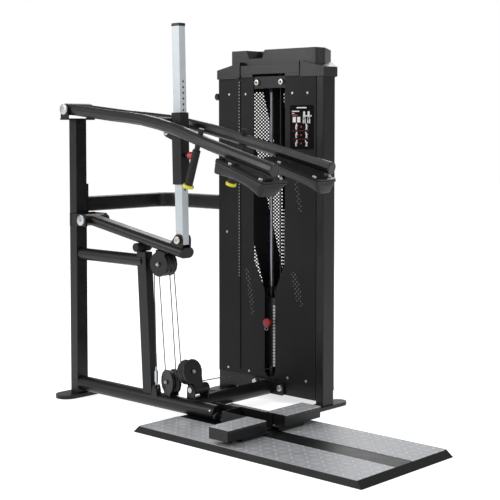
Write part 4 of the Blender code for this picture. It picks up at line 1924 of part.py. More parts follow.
def build_lever():
    """The lower lever with its pulley hanger, and the column and sleeve on it."""
    lever_axis = axis_empty("lever_axis", LEVER_PIVOT)
    lower_lever(lever_axis)
    column_bolt(lever_axis)
    pulley_hanger(lever_axis)
    cable_upper_wraps(lever_axis)
    column_axis = axis_empty("column_axis", COLUMN_PIVOT, lever_axis)
    column(column_axis)
    column_cap(column_axis)
    sleeve_axis = axis_empty("sleeve_axis", COLUMN_FRAME @ Vector((0, 0, PIN_IN_COLUMN.z)),
                             column_axis)
    sleeve(sleeve_axis)
    adjuster_knob(sleeve_axis)
    return lever_axis


def build_cable(lever_axis):
    """The swivel, the six pulleys and the cable's still and stretching lengths."""
    swivel_axis = axis_empty("swivel_axis", (SWIVEL_X, 0, SWIVEL_Z))
    swivel_bracket(swivel_axis)
    cable_swivel_wrap(swivel_axis)
    pulleys(lever_axis, swivel_axis)
    cable_strands()
    cable_lower_wrap()
    cable_tower_run()
    cable_stack_drop()


def main():
    """Model the whole machine."""
    clear_scene()
    build_frame()
    build_tower()
    build_arms()
    build_cable(build_lever())


main()
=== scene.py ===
"""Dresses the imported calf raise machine: finishes, rounded skins, small parts, pads and cable."""

import json
import logging
import math
from dataclasses import dataclass
from enum import Enum
from functools import cache, reduce
from typing import Callable, Iterable, Optional, Sequence, Union

import bpy
from mathutils import Matrix, Vector


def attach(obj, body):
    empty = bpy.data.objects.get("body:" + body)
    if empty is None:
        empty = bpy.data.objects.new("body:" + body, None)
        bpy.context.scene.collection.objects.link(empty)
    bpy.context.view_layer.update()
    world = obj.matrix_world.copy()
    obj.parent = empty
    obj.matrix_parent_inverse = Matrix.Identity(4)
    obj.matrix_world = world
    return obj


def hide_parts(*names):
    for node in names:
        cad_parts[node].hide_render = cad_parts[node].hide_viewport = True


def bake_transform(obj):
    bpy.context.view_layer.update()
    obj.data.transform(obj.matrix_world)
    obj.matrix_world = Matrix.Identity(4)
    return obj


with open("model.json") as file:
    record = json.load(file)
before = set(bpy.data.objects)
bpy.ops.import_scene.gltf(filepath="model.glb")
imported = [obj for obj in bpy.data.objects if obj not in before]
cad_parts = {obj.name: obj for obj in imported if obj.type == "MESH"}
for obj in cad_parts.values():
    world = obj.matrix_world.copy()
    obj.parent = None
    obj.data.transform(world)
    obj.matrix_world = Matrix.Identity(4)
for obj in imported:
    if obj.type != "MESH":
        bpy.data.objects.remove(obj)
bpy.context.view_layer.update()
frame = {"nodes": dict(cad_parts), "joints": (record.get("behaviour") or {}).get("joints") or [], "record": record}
log = logging.getLogger("calf_raise")

Colour = tuple[float, float, float]
Spot = tuple[float, float, float]
Socket = bpy.types.NodeSocket
Term = Union[Socket, float]
Piece = bpy.types.Object

SIDES = (-1, 1)
MERGE_DISTANCE = 0.00002
SAME_HEIGHT = 1e-5
FACING = 0.99
EDGE_ANGLE = 34.0
HEAD_ANGLE = 40.0
CORNER_ANGLE = 50.0
STRAND_ANGLE = 60.0


class Body(Enum):
    """Bodies that pieces ride on, the frame among them."""

    FRAME = "frame"
    ARM_SHAFT = "arm_shaft"
    ARMS = "arms"
    LEVER = "lever"
    COLUMN = "column"
    SLEEVE = "sleeve"
    ADJUSTER = "adjuster"
    SWIVEL = "swivel"
    STACK = "lifted_stack"
    STACK_PIN = "stack_pin"
    NEAR_UPPER_WHEEL = "near_upper_wheel"
    FAR_UPPER_WHEEL = "far_upper_wheel"
    LOWER_WHEEL = "lower_wheel"
    SWIVEL_WHEEL = "swivel_wheel"
    BASE_WHEEL = "base_wheel"
    TOP_WHEEL = "top_wheel"


BODY_OF = {node: Body(body) for body, nodes in frame["record"]["behaviour"]["bodies"].items()
           for node in nodes}
JOINTS = {joint["name"]: joint for joint in frame["joints"]}


# Shader groups and finishes


class Tree:
    """Short calls for building a node tree."""

    def __init__(self, tree: bpy.types.NodeTree) -> None:
        """Keep the tree."""
        self.tree = tree

    @classmethod
    def fresh(cls, owner: Union[bpy.types.Material, bpy.types.World]) -> "Tree":
        """Empty the node tree of a material or world.

        Args:
            owner: the material or world.

        Returns:
            Its tree.
        """
        owner.use_nodes = True
        owner.node_tree.nodes.clear()
        return cls(owner.node_tree)

    def add(self, kind: str, inputs: Optional[dict[Union[str, int], object]] = None,
            **settings: object) -> bpy.types.Node:
        """Add a node, set its properties and feed its inputs.

        Args:
            kind: the node's type name.
            inputs: values or output sockets by input.
            settings: property values by name.

        Returns:
            The new node.
        """
        node = self.tree.nodes.new(kind)
        for name, value in settings.items():
            setattr(node, name, value)
        for name, term in (inputs or {}).items():
            self.feed(node.inputs[name], term)
        return node

    def feed(self, socket: Socket, term: Union[Term, tuple]) -> None:
        """Link a socket, or set its own value.

        Args:
            socket: the input socket.
            term: an output socket, a number or a colour.
        """
        if isinstance(term, bpy.types.NodeSocket):
            self.tree.links.new(term, socket)
        else:
            socket.default_value = term

    def math(self, operation: str, *terms: Term) -> Socket:
        """Add a Math node with its inputs in order, and return its output."""
        return self.add("ShaderNodeMath", dict(enumerate(terms)), operation=operation).outputs[0]

    def sum(self, *terms: Term) -> Socket:
        """Add the terms up."""
        return reduce(lambda first, second: self.math("ADD", first, second), terms)

    def product(self, *terms: Term) -> Socket:
        """Multiply the terms."""
        return reduce(lambda first, second: self.math("MULTIPLY", first, second), terms)

    def within(self, term: Term, middle: Term, half: float) -> Socket:
        """Return 1 where a term lies less than half from a middle, and 0 elsewhere."""
        apart = self.math("ABSOLUTE", self.math("SUBTRACT", term, middle))
        return self.math("LESS_THAN", apart, half)

    def blend(self, share: Term, first: Union[Socket, Colour],
              second: Union[Socket, Colour]) -> Socket:
        """Mix two colours.

        Args:
            share: how much of the second shows.
            first: colour at share 0.
            second: colour at share 1.

        Returns:
            The mixed colour.
        """
        node = self.add("ShaderNodeMix", {"Factor": share}, data_type="RGBA")
        for name, value in (("A", first), ("B", second)):
            socket = [s for s in node.inputs if s.name == name and s.type == "RGBA"][0]
            self.feed(socket, (*value, 1.0) if isinstance(value, tuple) else value)
        return [s for s in node.outputs if s.type == "RGBA"][0]

    def group(self, tree: bpy.types.NodeTree, output: str, **terms: Term) -> Socket:
        """Place a shader group with its inputs by name, and return the output that is wanted."""
        return self.add("ShaderNodeGroup", terms, node_tree=tree).outputs[output]

    def split(self, vector: Socket) -> tuple[Socket, Socket, Socket]:
        """Separate a vector into its three numbers."""
        node = self.add("ShaderNodeSeparateXYZ", {0: vector})
        return node.outputs[0], node.outputs[1], node.outputs[2]

    def cell(self, term: Term, pitch: Term) -> tuple[Socket, Socket]:
        """Repeat a coordinate.

        Args:
            term: the coordinate in metres.
            pitch: length of one repeat.

        Returns:
            The place in the repeat from -0.5 to 0.5, and the number of the repeat.
        """
        scaled = self.math("DIVIDE", term, pitch)
        number = self.math("FLOOR", scaled)
        inside = self.math("SUBTRACT", self.math("SUBTRACT", scaled, number), 0.5)
        return inside, number


def new_group(name: str, inputs: dict[str, Optional[float]],
              outputs: Iterable[str]) -> tuple[Tree, Callable[[str], Socket], bpy.types.Node]:
    """Start a shader group.

    Args:
        name: the group's name.
        inputs: default of each number input; None makes it a vector.
        outputs: names of the number outputs.

    Returns:
        The tree, a getter for input sockets and the output node.
    """
    tree = bpy.data.node_groups.new(name, "ShaderNodeTree")
    for label, default in inputs.items():
        kind = "NodeSocketVector" if default is None else "NodeSocketFloat"
        socket = tree.interface.new_socket(name=label, in_out="INPUT", socket_type=kind)
        if default is not None:
            socket.default_value = default
    for label in outputs:
        tree.interface.new_socket(name=label, in_out="OUTPUT", socket_type="NodeSocketFloat")
    short = Tree(tree)
    entry = short.add("NodeGroupInput")
    return short, lambda label: entry.outputs[label], short.add("NodeGroupOutput")


class Effects:
    """Shader groups that several finishes share, each built once."""

    MARK_SCALES = (1.0, 5.0)
    MARK_RANGE = (0.38, 0.62)
    BAR_HALVES = (0.62, 0.24)
    BAR_STEEPNESS = 1.6

    @staticmethod
    @cache
    def grain() -> bpy.types.NodeTree:
        """Make the fine relief of paint, moulding or leather.

        Returns:
            The group: noise, or cells with small closed hills, or both.
        """
        tree, get, out = new_group("fine_grain", {"Vector": None, "Size": 0.001, "Cells": 0.0},
                                   ("Height",))
        place = {"Vector": get("Vector"), "Scale": tree.math("DIVIDE", 1.0, get("Size"))}
        noise = tree.add("ShaderNodeTexNoise", {"Detail": 2.0, **place})
        cells = tree.add("ShaderNodeTexVoronoi", place, feature="SMOOTH_F1")
        flat = tree.product(noise.outputs[0], tree.math("SUBTRACT", 1.0, get("Cells")))
        hills = tree.product(cells.outputs["Distance"], get("Cells"))
        tree.feed(out.inputs["Height"], tree.sum(flat, hills))
        return tree.tree

    @staticmethod
    @cache
    def handling() -> bpy.types.NodeTree:
        """Make the soft marks of dust and hands.

        Returns:
            The group: two sizes of noise, with the middle of their range widened.
        """
        tree, get, out = new_group("handling_marks", {"Vector": None, "Size": 0.2}, ("Mask",))
        parts = []
        for factor in Effects.MARK_SCALES:
            scale = tree.math("DIVIDE", factor, get("Size"))
            noise = tree.add("ShaderNodeTexNoise", {"Detail": 4.0, "Vector": get("Vector"),
                                                    "Scale": scale})
            parts.append(noise.outputs[0])
        mean = tree.product(tree.sum(*parts), 0.5)
        low, high = Effects.MARK_RANGE
        span = tree.add("ShaderNodeMapRange", {"From Min": low, "From Max": high, "Value": mean})
        tree.feed(out.inputs["Mask"], span.outputs[0])
        return tree.tree

    @staticmethod
    @cache
    def tread() -> bpy.types.NodeTree:
        """Make the raised bars of checker plate, turned one way and the other.

        Returns:
            The group: an ellipse in each square cell, on one diagonal or the other.
        """
        tree, get, out = new_group("tread_bars", {"Vector": None, "Pitch": 0.03},
                                   ("Height", "Mask"))
        x, y, _ = tree.split(get("Vector"))
        u, column = tree.cell(x, get("Pitch"))
        v, row = tree.cell(y, get("Pitch"))
        odd = tree.math("MODULO", tree.math("ABSOLUTE", tree.sum(column, row)), 2.0)
        sign = tree.math("SUBTRACT", tree.product(odd, 2.0), 1.0)
        turned = tree.product(sign, v)
        ways = (tree.sum(u, turned), tree.math("SUBTRACT", u, turned))
        ring = [tree.math("POWER", tree.math("DIVIDE", way, half), 2.0)
                for way, half in zip(ways, Effects.BAR_HALVES)]
        rise = tree.math("SUBTRACT", 1.0, tree.sum(*ring))
        height = tree.math("MAXIMUM", tree.product(rise, Effects.BAR_STEEPNESS), 0.0)
        tree.feed(out.inputs["Height"], tree.math("MINIMUM", height, 1.0))
        tree.feed(out.inputs["Mask"], tree.math("GREATER_THAN", rise, 0.0))
        return tree.tree

    @staticmethod
    @cache
    def holes() -> bpy.types.NodeTree:
        """Make round holes in staggered rows on a wall that faces across.

        Returns:
            The group: the distance to the middle of each staggered cell, cut at the radius.
        """
        tree, get, out = new_group("staggered_holes",
                                   {"Vector": None, "Pitch": 0.012, "Radius": 0.004}, ("Mask",))
        x, _, z = tree.split(get("Vector"))
        row_pitch = tree.product(get("Pitch"), 0.5)
        v, row = tree.cell(z, row_pitch)
        odd = tree.math("MODULO", tree.math("ABSOLUTE", row), 2.0)
        shift = tree.product(odd, 0.5, get("Pitch"))
        u, _ = tree.cell(tree.sum(x, shift), get("Pitch"))
        squares = [tree.math("POWER", tree.product(*pair), 2.0)
                   for pair in ((u, get("Pitch")), (v, row_pitch))]
        far = tree.math("SQRT", tree.sum(*squares))
        tree.feed(out.inputs["Mask"], tree.math("LESS_THAN", far, get("Radius")))
        return tree.tree


@dataclass(frozen=True)
class Finish:
    """One surface finish, with grain, marks and shine."""

    name: str
    colour: Colour
    worn: Colour
    roughness: float
    spread: float = 0.08
    metallic: float = 0.0
    grain: float = 0.0012
    depth: float = 0.00006
    cells: float = 0.0
    marks: float = 0.22
    specular: float = 0.5

    def material(self) -> bpy.types.Material:
        """Build the material once.

        Returns:
            The material.
        """
        title = "finish_" + self.name
        found = bpy.data.materials.get(title)
        if found is not None:
            return found
        material = bpy.data.materials.new(title)
        tree = Tree.fresh(material)
        shader = tree.add("ShaderNodeBsdfPrincipled", {"Metallic": self.metallic,
                                                       "Specular IOR Level": self.specular})
        tree.add("ShaderNodeOutputMaterial", {"Surface": shader.outputs[0]})
        self.dress(tree, shader, tree.add("ShaderNodeTexCoord").outputs["Object"])
        return material

    def dress(self, tree: Tree, shader: bpy.types.Node, where: Socket) -> None:
        """Feed colour, roughness and relief.

        Args:
            tree: the material's tree.
            shader: the Principled shader.
            where: Object coordinates.
        """
        mask = tree.group(Effects.handling(), "Mask", Vector=where, Size=self.marks)
        tree.feed(shader.inputs["Base Color"], self.paint(tree, where, mask))
        tree.feed(shader.inputs["Roughness"], tree.sum(tree.product(mask, self.spread),
                                                       self.roughness - self.spread / 2))
        relief = tree.add("ShaderNodeBump", {"Distance": self.depth,
                                             "Height": self.height(tree, where)})
        tree.feed(shader.inputs["Normal"], relief.outputs[0])

    def paint(self, tree: Tree, where: Socket, mask: Socket) -> Socket:
        """Return the colour over the surface."""
        return tree.blend(mask, self.colour, self.worn)

    def height(self, tree: Tree, where: Socket) -> Socket:
        """Return the relief's height, where 1 is the finish's depth."""
        return tree.group(Effects.grain(), "Height", Vector=where, Size=self.grain,
                          Cells=self.cells)


@dataclass(frozen=True)
class BrushedFinish(Finish):
    """Metal with fine lines along one axis."""

    stretch: tuple[float, float, float] = (1.0, 1.0, 0.02)

    def height(self, tree: Tree, where: Socket) -> Socket:
        """Return long fine scratches."""
        mapping = tree.add("ShaderNodeMapping", {"Scale": self.stretch, "Vector": where})
        return super().height(tree, mapping.outputs[0])


@dataclass(frozen=True)
class TreadFinish(Finish):
    """Bright checker plate with raised bars."""

    pitch: float = 0.042
    # Colour of the raised bars: a painted sheen, lighter than the plate.
    bar: Colour = (0.66, 0.675, 0.69)
    bar_shine: float = 0.75
    rolling: float = 0.06
    lip: Colour = (0.012, 0.012, 0.012)
    lip_top: float = 0.0985
    lip_bottom: float = 0.040

    def bars(self, tree: Tree, where: Socket) -> Socket:
        """Return the height of the bars."""
        return tree.group(Effects.tread(), "Height", Vector=where, Pitch=self.pitch)

    def paint(self, tree: Tree, where: Socket, mask: Socket) -> Socket:
        """Colour the plate, with a painted sheen on the bars and dark lips.

        Args:
            tree: the material's tree.
            where: Object coordinates.
            mask: the handling marks.

        Returns:
            The colour.
        """
        plate = super().paint(tree, where, mask)
        # Painted sheen on the raised bars.
        sheet = tree.blend(tree.product(self.bars(tree, where), self.bar_shine), plate, self.bar)
        z = tree.split(where)[2]
        lip = tree.product(tree.math("LESS_THAN", z, self.lip_top),
                           tree.math("GREATER_THAN", z, self.lip_bottom))
        return tree.blend(lip, sheet, self.lip)

    def height(self, tree: Tree, where: Socket) -> Socket:
        """Return the bars' height over a little rolling grain."""
        fine = super().height(tree, where)
        return tree.sum(self.bars(tree, where), tree.product(fine, self.rolling))


@dataclass(frozen=True)
class PanelFinish(Finish):
    """Painted sheet with slanting fields of small holes beside the slot."""

    dot: Colour = (0.180, 0.180, 0.182)
    dot_pitch: float = 0.0230
    dot_radius: float = 0.0033
    slope: float = -0.22
    # Middle X, middle Z, half width and half height of each field.
    fields: tuple[tuple[float, float, float, float], ...] = (
        (0.640, 0.560, 0.014, 0.085), (0.652, 0.470, 0.010, 0.060),
        (0.948, 0.580, 0.016, 0.070), (0.972, 0.545, 0.010, 0.060),
        (0.935, 1.170, 0.012, 0.060), (0.960, 1.020, 0.012, 0.075))
    # Painted highlight: light grey marks on the rib's punched line, where the fold catches the light.
    rib_hole_glint: Colour = (0.300, 0.300, 0.305)
    rib_hole_glint_radius: float = 0.0036
    rib: float = 0.574
    rib_cells: int = 36
    rib_half: float = 0.0050
    rib_middle: float = 1.09
    rib_reach: float = 0.49

    def dots(self, tree: Tree, where: Socket) -> Socket:
        """Mask the small holes of the fields.

        Args:
            tree: the material's tree.
            where: Object coordinates.

        Returns:
            The mask.
        """
        mask = tree.group(Effects.holes(), "Mask", Vector=where, Pitch=self.dot_pitch,
                          Radius=self.dot_radius)
        x, _, z = tree.split(where)
        inside: Term = 0.0
        for across, up, half_width, half_height in self.fields:
            lean = tree.product(tree.math("SUBTRACT", z, up), self.slope)
            field = tree.product(tree.within(x, tree.sum(across, lean), half_width),
                                 tree.within(z, up, half_height))
            inside = tree.math("MAXIMUM", inside, field)
        return tree.product(mask, inside)

    def rib_hole_glints(self, tree: Tree, where: Socket) -> Socket:
        """Mask the fine punched line of the rib, painted light grey as the highlight where the fold catches the
        light.

        Args:
            tree: the material's tree.
            where: Object coordinates.

        Returns:
            The mask.
        """
        mask = tree.group(Effects.holes(), "Mask", Vector=where, Pitch=self.rib / self.rib_cells,
                          Radius=self.rib_hole_glint_radius)
        x, _, z = tree.split(where)
        return tree.product(mask, tree.within(x, self.rib, self.rib_half),
                            tree.within(z, self.rib_middle, self.rib_reach))

    def paint(self, tree: Tree, where: Socket, mask: Socket) -> Socket:
        """Return the sheet's colour with light grey holes and the painted highlight of the rib's punched line."""
        sheet = tree.blend(self.dots(tree, where), super().paint(tree, where, mask), self.dot)
        # Painted highlight along the rib's punched line.
        return tree.blend(self.rib_hole_glints(tree, where), sheet, self.rib_hole_glint)


@dataclass(frozen=True)
class CoverFinish(Finish):
    """Painted sheet with slanting bands of open holes on its back and slanted walls."""

    fold_left: float = 0.623
    fold_right: float = 0.923
    pitch: float = 0.0175
    hole: float = 0.0037
    band_start: float = 0.852
    band_level: float = 1.185
    slope: float = 0.22
    band_pitch: float = 0.218
    half_band: float = 0.050
    middle: float = 0.87
    reach: float = 0.66
    front_limit: float = 0.668

    def unrolled(self, tree: Tree, x: Socket, y: Socket) -> Socket:
        """Unroll the folded wall.

        Args:
            tree: the material's tree.
            x: place along the machine.
            y: place across it.

        Returns:
            The way along the wall.
        """
        slant = math.sqrt(0.5)
        left = tree.math("LESS_THAN", x, self.fold_left)
        right = tree.math("GREATER_THAN", x, self.fold_right)
        back = tree.math("SUBTRACT", tree.math("SUBTRACT", 1.0, left), right)
        return tree.sum(tree.product(tree.sum(x, y), slant, left),
                        tree.product(tree.math("SUBTRACT", x, y), slant, right),
                        tree.product(x, back))

    def dress(self, tree: Tree, shader: bpy.types.Node, where: Socket) -> None:
        """Feed the plain finish, then open the holes.

        Args:
            tree: the material's tree.
            shader: the Principled shader.
            where: Object coordinates.
        """
        super().dress(tree, shader, where)
        x, y, z = tree.split(where)
        way = self.unrolled(tree, x, y)
        flat = tree.add("ShaderNodeCombineXYZ", {0: way, 2: z})
        holes = tree.group(Effects.holes(), "Mask", Vector=flat.outputs[0], Pitch=self.pitch,
                           Radius=self.hole)
        lean = tree.product(tree.math("SUBTRACT", z, self.band_level), self.slope)
        place, _ = tree.cell(tree.sum(tree.math("SUBTRACT", way, self.band_start), lean),
                             self.band_pitch)
        mask = tree.product(holes, tree.within(place, 0.0, self.half_band / self.band_pitch),
                            tree.within(z, self.middle, self.reach),
                            tree.math("GREATER_THAN", y, self.front_limit))
        tree.feed(shader.inputs["Alpha"], tree.math("SUBTRACT", 1.0, mask))


@dataclass(frozen=True)
class CableFinish(Finish):
    """Nylon coat with the rope's twist showing through."""

    twist: float = 0.012
    slant: float = 1.3

    def height(self, tree: Tree, where: Socket) -> Socket:
        """Make slanting waves down the cable.

        Args:
            tree: the material's tree.
            where: Object coordinates.

        Returns:
            The relief's height.
        """
        x, y, z = tree.split(where)
        along = tree.sum(z, tree.product(tree.sum(x, y), self.slant))
        return tree.math("SINE", tree.product(along, 2 * math.pi / self.twist))


class Look(Enum):
    """Finishes of this machine."""

    POWDER = Finish("black_powder_coat", (0.0062, 0.0062, 0.0065), (0.0085, 0.0085, 0.0088), 0.36,
                    depth=0.00008, grain=0.0016, specular=0.30)
    SHEET = PanelFinish("black_sheet_coat", (0.0090, 0.0090, 0.0093), (0.0118, 0.0118, 0.0121),
                        0.50, depth=0.00010, grain=0.0014, marks=0.35, specular=0.17)
    COVER = CoverFinish("black_cover_coat", (0.0080, 0.0080, 0.0083), (0.0105, 0.0105, 0.0108),
                        0.50, depth=0.00010, grain=0.0014, marks=0.35, specular=0.17)
    MOULDED = Finish("black_moulding", (0.0110, 0.0110, 0.0115), (0.0140, 0.0140, 0.0145), 0.36,
                     depth=0.00008, grain=0.0009, cells=0.6, specular=0.42)
    VINYL = Finish("pad_vinyl", (0.0125, 0.0125, 0.0129), (0.0165, 0.0165, 0.0169), 0.52,
                   depth=0.00030, grain=0.0022, cells=0.85, marks=0.09, specular=0.28)
    SEAM = Finish("pad_seam", (0.0120, 0.0120, 0.0120), (0.0170, 0.0170, 0.0170), 0.55,
                  depth=0.00020, grain=0.0012)
    RUBBER = Finish("black_rubber", (0.0100, 0.0100, 0.0100), (0.0160, 0.0160, 0.0160), 0.70,
                    depth=0.00015, grain=0.0012, specular=0.35)
    WHEEL = Finish("pulley_nylon", (0.0110, 0.0110, 0.0112), (0.0160, 0.0160, 0.0165), 0.38,
                   depth=0.00005, grain=0.0010)
    SILVER = Finish("silver_paint", (0.560, 0.610, 0.640), (0.610, 0.650, 0.675), 0.42,
                    metallic=0.20, depth=0.00005, grain=0.0009)
    ZINC = BrushedFinish("zinc_plate", (0.470, 0.445, 0.400), (0.560, 0.535, 0.490), 0.36,
                         spread=0.14, metallic=1.0, depth=0.00004, grain=0.0012,
                         stretch=(1.0, 0.05, 1.0), marks=0.03)
    BRIGHT = BrushedFinish("bright_zinc", (0.450, 0.485, 0.510), (0.530, 0.565, 0.590), 0.34,
                           spread=0.12, metallic=1.0, depth=0.00004, grain=0.0012,
                           stretch=(1.0, 0.05, 1.0), marks=0.03)
    CHROME = BrushedFinish("polished_steel", (0.300, 0.320, 0.365), (0.360, 0.380, 0.425), 0.32,
                           spread=0.06, metallic=1.0, depth=0.00001, grain=0.0015, marks=0.05)
    TREAD = TreadFinish("checker_plate", (0.400, 0.415, 0.435), (0.470, 0.485, 0.505), 0.44,
                        spread=0.12, metallic=0.20, depth=0.0015, grain=0.0020, marks=0.10)
    RED = Finish("red_moulding", (0.320, 0.010, 0.014), (0.380, 0.015, 0.020), 0.36,
                 depth=0.00004, grain=0.0010, marks=0.02)
    YELLOW = Finish("yellow_moulding", (0.800, 0.700, 0.030), (0.860, 0.780, 0.060), 0.42,
                    depth=0.00004, grain=0.0010, marks=0.03)
    CABLE = CableFinish("cable_nylon", (0.030, 0.030, 0.032), (0.050, 0.050, 0.052), 0.34,
                        depth=0.00012, marks=0.05)
    PRINT = Finish("placard_gloss", (0.0022, 0.0022, 0.0025), (0.0030, 0.0030, 0.0033), 0.55,
                   depth=0.00001, grain=0.0020, specular=0.05)
    WHITE = Finish("placard_white", (0.740, 0.750, 0.760), (0.790, 0.795, 0.800), 0.38,
                   depth=0.00001, grain=0.0010, marks=0.02)
    IRON = Finish("stack_plate_coat", (0.0105, 0.0105, 0.0115), (0.0150, 0.0150, 0.0160), 0.36,
                  depth=0.00008, grain=0.0013)


# Modelling by hand with Blender's operators


class Bench:
    """Operators that start, shape and finish a mesh."""

    @staticmethod
    def clear() -> None:
        """Select nothing."""
        bpy.ops.object.select_all(action="DESELECT")

    @classmethod
    def pick(cls, piece: Piece) -> None:
        """Select one object alone and make it active.

        Args:
            piece: the object.
        """
        cls.clear()
        piece.select_set(True)
        bpy.context.view_layer.objects.active = piece

    @staticmethod
    def named(name: str) -> Piece:
        """Name the active object and its mesh.

        Args:
            name: the new name.

        Returns:
            The active object.
        """
        piece = bpy.context.object
        piece.name = name
        piece.data.name = name
        return piece

    @classmethod
    def settle(cls, piece: Piece) -> Piece:
        """Move the object's place into its mesh.

        Args:
            piece: the object.

        Returns:
            The same object.
        """
        cls.pick(piece)
        bpy.ops.object.transform_apply(location=True, rotation=True, scale=True)
        return piece

    @classmethod
    def cylinder(cls, name: str, radius: float, depth: float, sides: int = 32) -> Piece:
        """Add a cylinder on the origin along Z.

        Args:
            name: the object's name.
            radius: its radius.
            depth: its length.
            sides: number of sides.

        Returns:
            The new object.
        """
        cls.clear()
        bpy.ops.mesh.primitive_cylinder_add(vertices=sides, radius=radius, depth=depth)
        return cls.named(name)

    @classmethod
    def drum(cls, name: str, radius: float, height: float, base: float, sides: int) -> Piece:
        """Add a cylinder that stands on a height along Z.

        Args:
            name: the object's name.
            radius: its radius.
            height: its height.
            base: height of its foot.
            sides: number of sides.

        Returns:
            The new object, with its place in its mesh.
        """
        piece = cls.cylinder(name, radius, height, sides)
        piece.location.z = base + height / 2
        return cls.settle(piece)

    @classmethod
    def block(cls, name: str, low: Spot, high: Spot) -> Piece:
        """Add a box between two corners.

        Args:
            name: the object's name.
            low: lowest corner.
            high: highest corner.

        Returns:
            The new object, with its place in its mesh.
        """
        low, high = Vector(low), Vector(high)
        cls.clear()
        bpy.ops.mesh.primitive_cube_add(size=1.0, location=(low + high) / 2)
        piece = cls.named(name)
        piece.scale = high - low
        return cls.settle(piece)

    @classmethod
    def select(cls, piece: Piece, kind: str, chosen: list[bool]) -> None:
        """Enter edit mode with some vertices or faces selected.

        Args:
            piece: the object.
            kind: vertices or polygons.
            chosen: whether each of them is selected.
        """
        cls.pick(piece)
        bpy.context.tool_settings.mesh_select_mode = (kind == "vertices", False,
                                                      kind == "polygons")
        for part in ("vertices", "edges", "polygons"):
            rows = getattr(piece.data, part)
            rows.foreach_set("select", chosen if part == kind else [False] * len(rows))
        bpy.ops.object.mode_set(mode="EDIT")

    @classmethod
    def faces(cls, piece: Piece, wanted: Callable[[Vector, Vector], bool]) -> None:
        """Enter edit mode with the faces selected whose middle and normal are wanted."""
        cls.select(piece, "polygons", [wanted(f.center, f.normal) for f in piece.data.polygons])

    @classmethod
    def points(cls, piece: Piece, wanted: Callable[[Vector], bool]) -> None:
        """Enter edit mode with the vertices selected whose place is wanted."""
        cls.select(piece, "vertices", [wanted(v.co) for v in piece.data.vertices])

    @staticmethod
    def done() -> None:
        """Leave edit mode."""
        bpy.ops.object.mode_set(mode="OBJECT")

    @classmethod
    def rings(cls, piece: Piece, heights: Iterable[float]) -> None:
        """Cut rings across a mesh that stands along Z.

        Args:
            piece: the object.
            heights: where the rings go.
        """
        cls.pick(piece)
        bpy.ops.object.mode_set(mode="EDIT")
        for height in heights:
            bpy.ops.mesh.select_all(action="SELECT")
            bpy.ops.mesh.bisect(plane_co=(0, 0, height), plane_no=(0, 0, 1))
        cls.done()

    @classmethod
    def widen(cls, piece: Piece, height: float, radius: float, factor: float) -> None:
        """Scale one ring of a mesh that stands along Z.

        Args:
            piece: the object.
            height: the ring's height.
            radius: only vertices further out than this move.
            factor: scale across Z.
        """
        cls.points(piece, lambda p: abs(p.z - height) < SAME_HEIGHT
                   and math.hypot(p.x, p.y) > radius)
        bpy.ops.transform.resize(value=(factor, factor, 1.0))
        cls.done()

    @classmethod
    def bevel(cls, piece: Piece, offset: float, segments: int, profile: float,
              wanted: Callable[[Vector], bool]) -> None:
        """Bevel the edges between some vertices.

        Args:
            piece: the object.
            offset: width of the bevel.
            segments: its steps.
            profile: its shape, where 0.5 is round.
            wanted: test of a vertex's place.
        """
        cls.points(piece, wanted)
        bpy.ops.mesh.bevel(offset=offset, segments=segments, profile=profile, affect="EDGES")
        cls.done()

    @classmethod
    def modify(cls, piece: Piece, kind: str, **settings: object) -> Piece:
        """Add a modifier and apply it.

        Args:
            piece: the object.
            kind: the modifier's type.
            settings: its values by name.

        Returns:
            The same object.
        """
        cls.pick(piece)
        modifier = piece.modifiers.new(kind.title(), kind)
        for name, value in settings.items():
            setattr(modifier, name, value)
        bpy.ops.object.modifier_apply(modifier=modifier.name)
        return piece

    @classmethod
    def soften(cls, piece: Piece, width: float, segments: int = 2, angle: float = EDGE_ANGLE,
               weigh: bool = True) -> Piece:
        """Round the sharp edges and shade the rest smooth.

        Args:
            piece: the object.
            width: width of the rounding.
            segments: its steps.
            angle: edges sharper than this are rounded, in degrees.
            weigh: whether flat walls keep flat light beside the rounding.

        Returns:
            The same object.
        """
        if width > 0:
            cls.modify(piece, "BEVEL", width=width, segments=segments, limit_method="ANGLE",
                       angle_limit=math.radians(angle), use_clamp_overlap=True)
        cls.pick(piece)
        bpy.ops.object.shade_smooth_by_angle(angle=math.radians(angle))
        if width > 0 and weigh:
            cls.modify(piece, "WEIGHTED_NORMAL", mode="FACE_AREA", weight=80, keep_sharp=True)
        return piece

    @staticmethod
    def link(name: str, data: bpy.types.ID) -> Piece:
        """Add an object to the scene.

        Args:
            name: its name.
            data: its mesh, curve, light or camera.

        Returns:
            The new object.
        """
        thing = bpy.data.objects.new(name, data)
        bpy.context.scene.collection.objects.link(thing)
        return thing

    @classmethod
    def copy(cls, piece: Piece, name: str, place: Matrix) -> Piece:
        """Copy a piece with its own mesh, put in place.

        Args:
            piece: the model.
            name: the copy's name.
            place: where the model's origin and axes go.

        Returns:
            The copy, at the origin with its place in its mesh.
        """
        mesh = piece.data.copy()
        mesh.transform(place)
        return cls.link(name, mesh)

    @classmethod
    def solid(cls, node: str, name: str, flat: Optional[float] = None) -> Piece:
        """Copy a solid and merge its loose triangles.

        Args:
            node: the solid.
            name: the copy's name.
            flat: in degrees, joins faces that differ by less.

        Returns:
            The merged copy.
        """
        piece = cls.copy(frame["nodes"][node], name, Matrix.Identity(4))
        cls.pick(piece)
        bpy.ops.object.mode_set(mode="EDIT")
        bpy.ops.mesh.select_all(action="SELECT")
        bpy.ops.mesh.remove_doubles(threshold=MERGE_DISTANCE)
        bpy.ops.mesh.customdata_custom_splitnormals_clear()
        if flat is not None:
            bpy.ops.mesh.dissolve_limited(angle_limit=math.radians(flat))
        cls.done()
        return piece

    @classmethod
    def join(cls, name: str, pieces: list[Piece]) -> Piece:
        """Join pieces into one object.

        Args:
            name: the joined object's name.
            pieces: what goes in.

        Returns:
            The joined object.
        """
        cls.clear()
        for piece in pieces:
            piece.select_set(True)
        bpy.context.view_layer.objects.active = pieces[0]
        if len(pieces) > 1:
            bpy.ops.object.join()
        return cls.named(name)

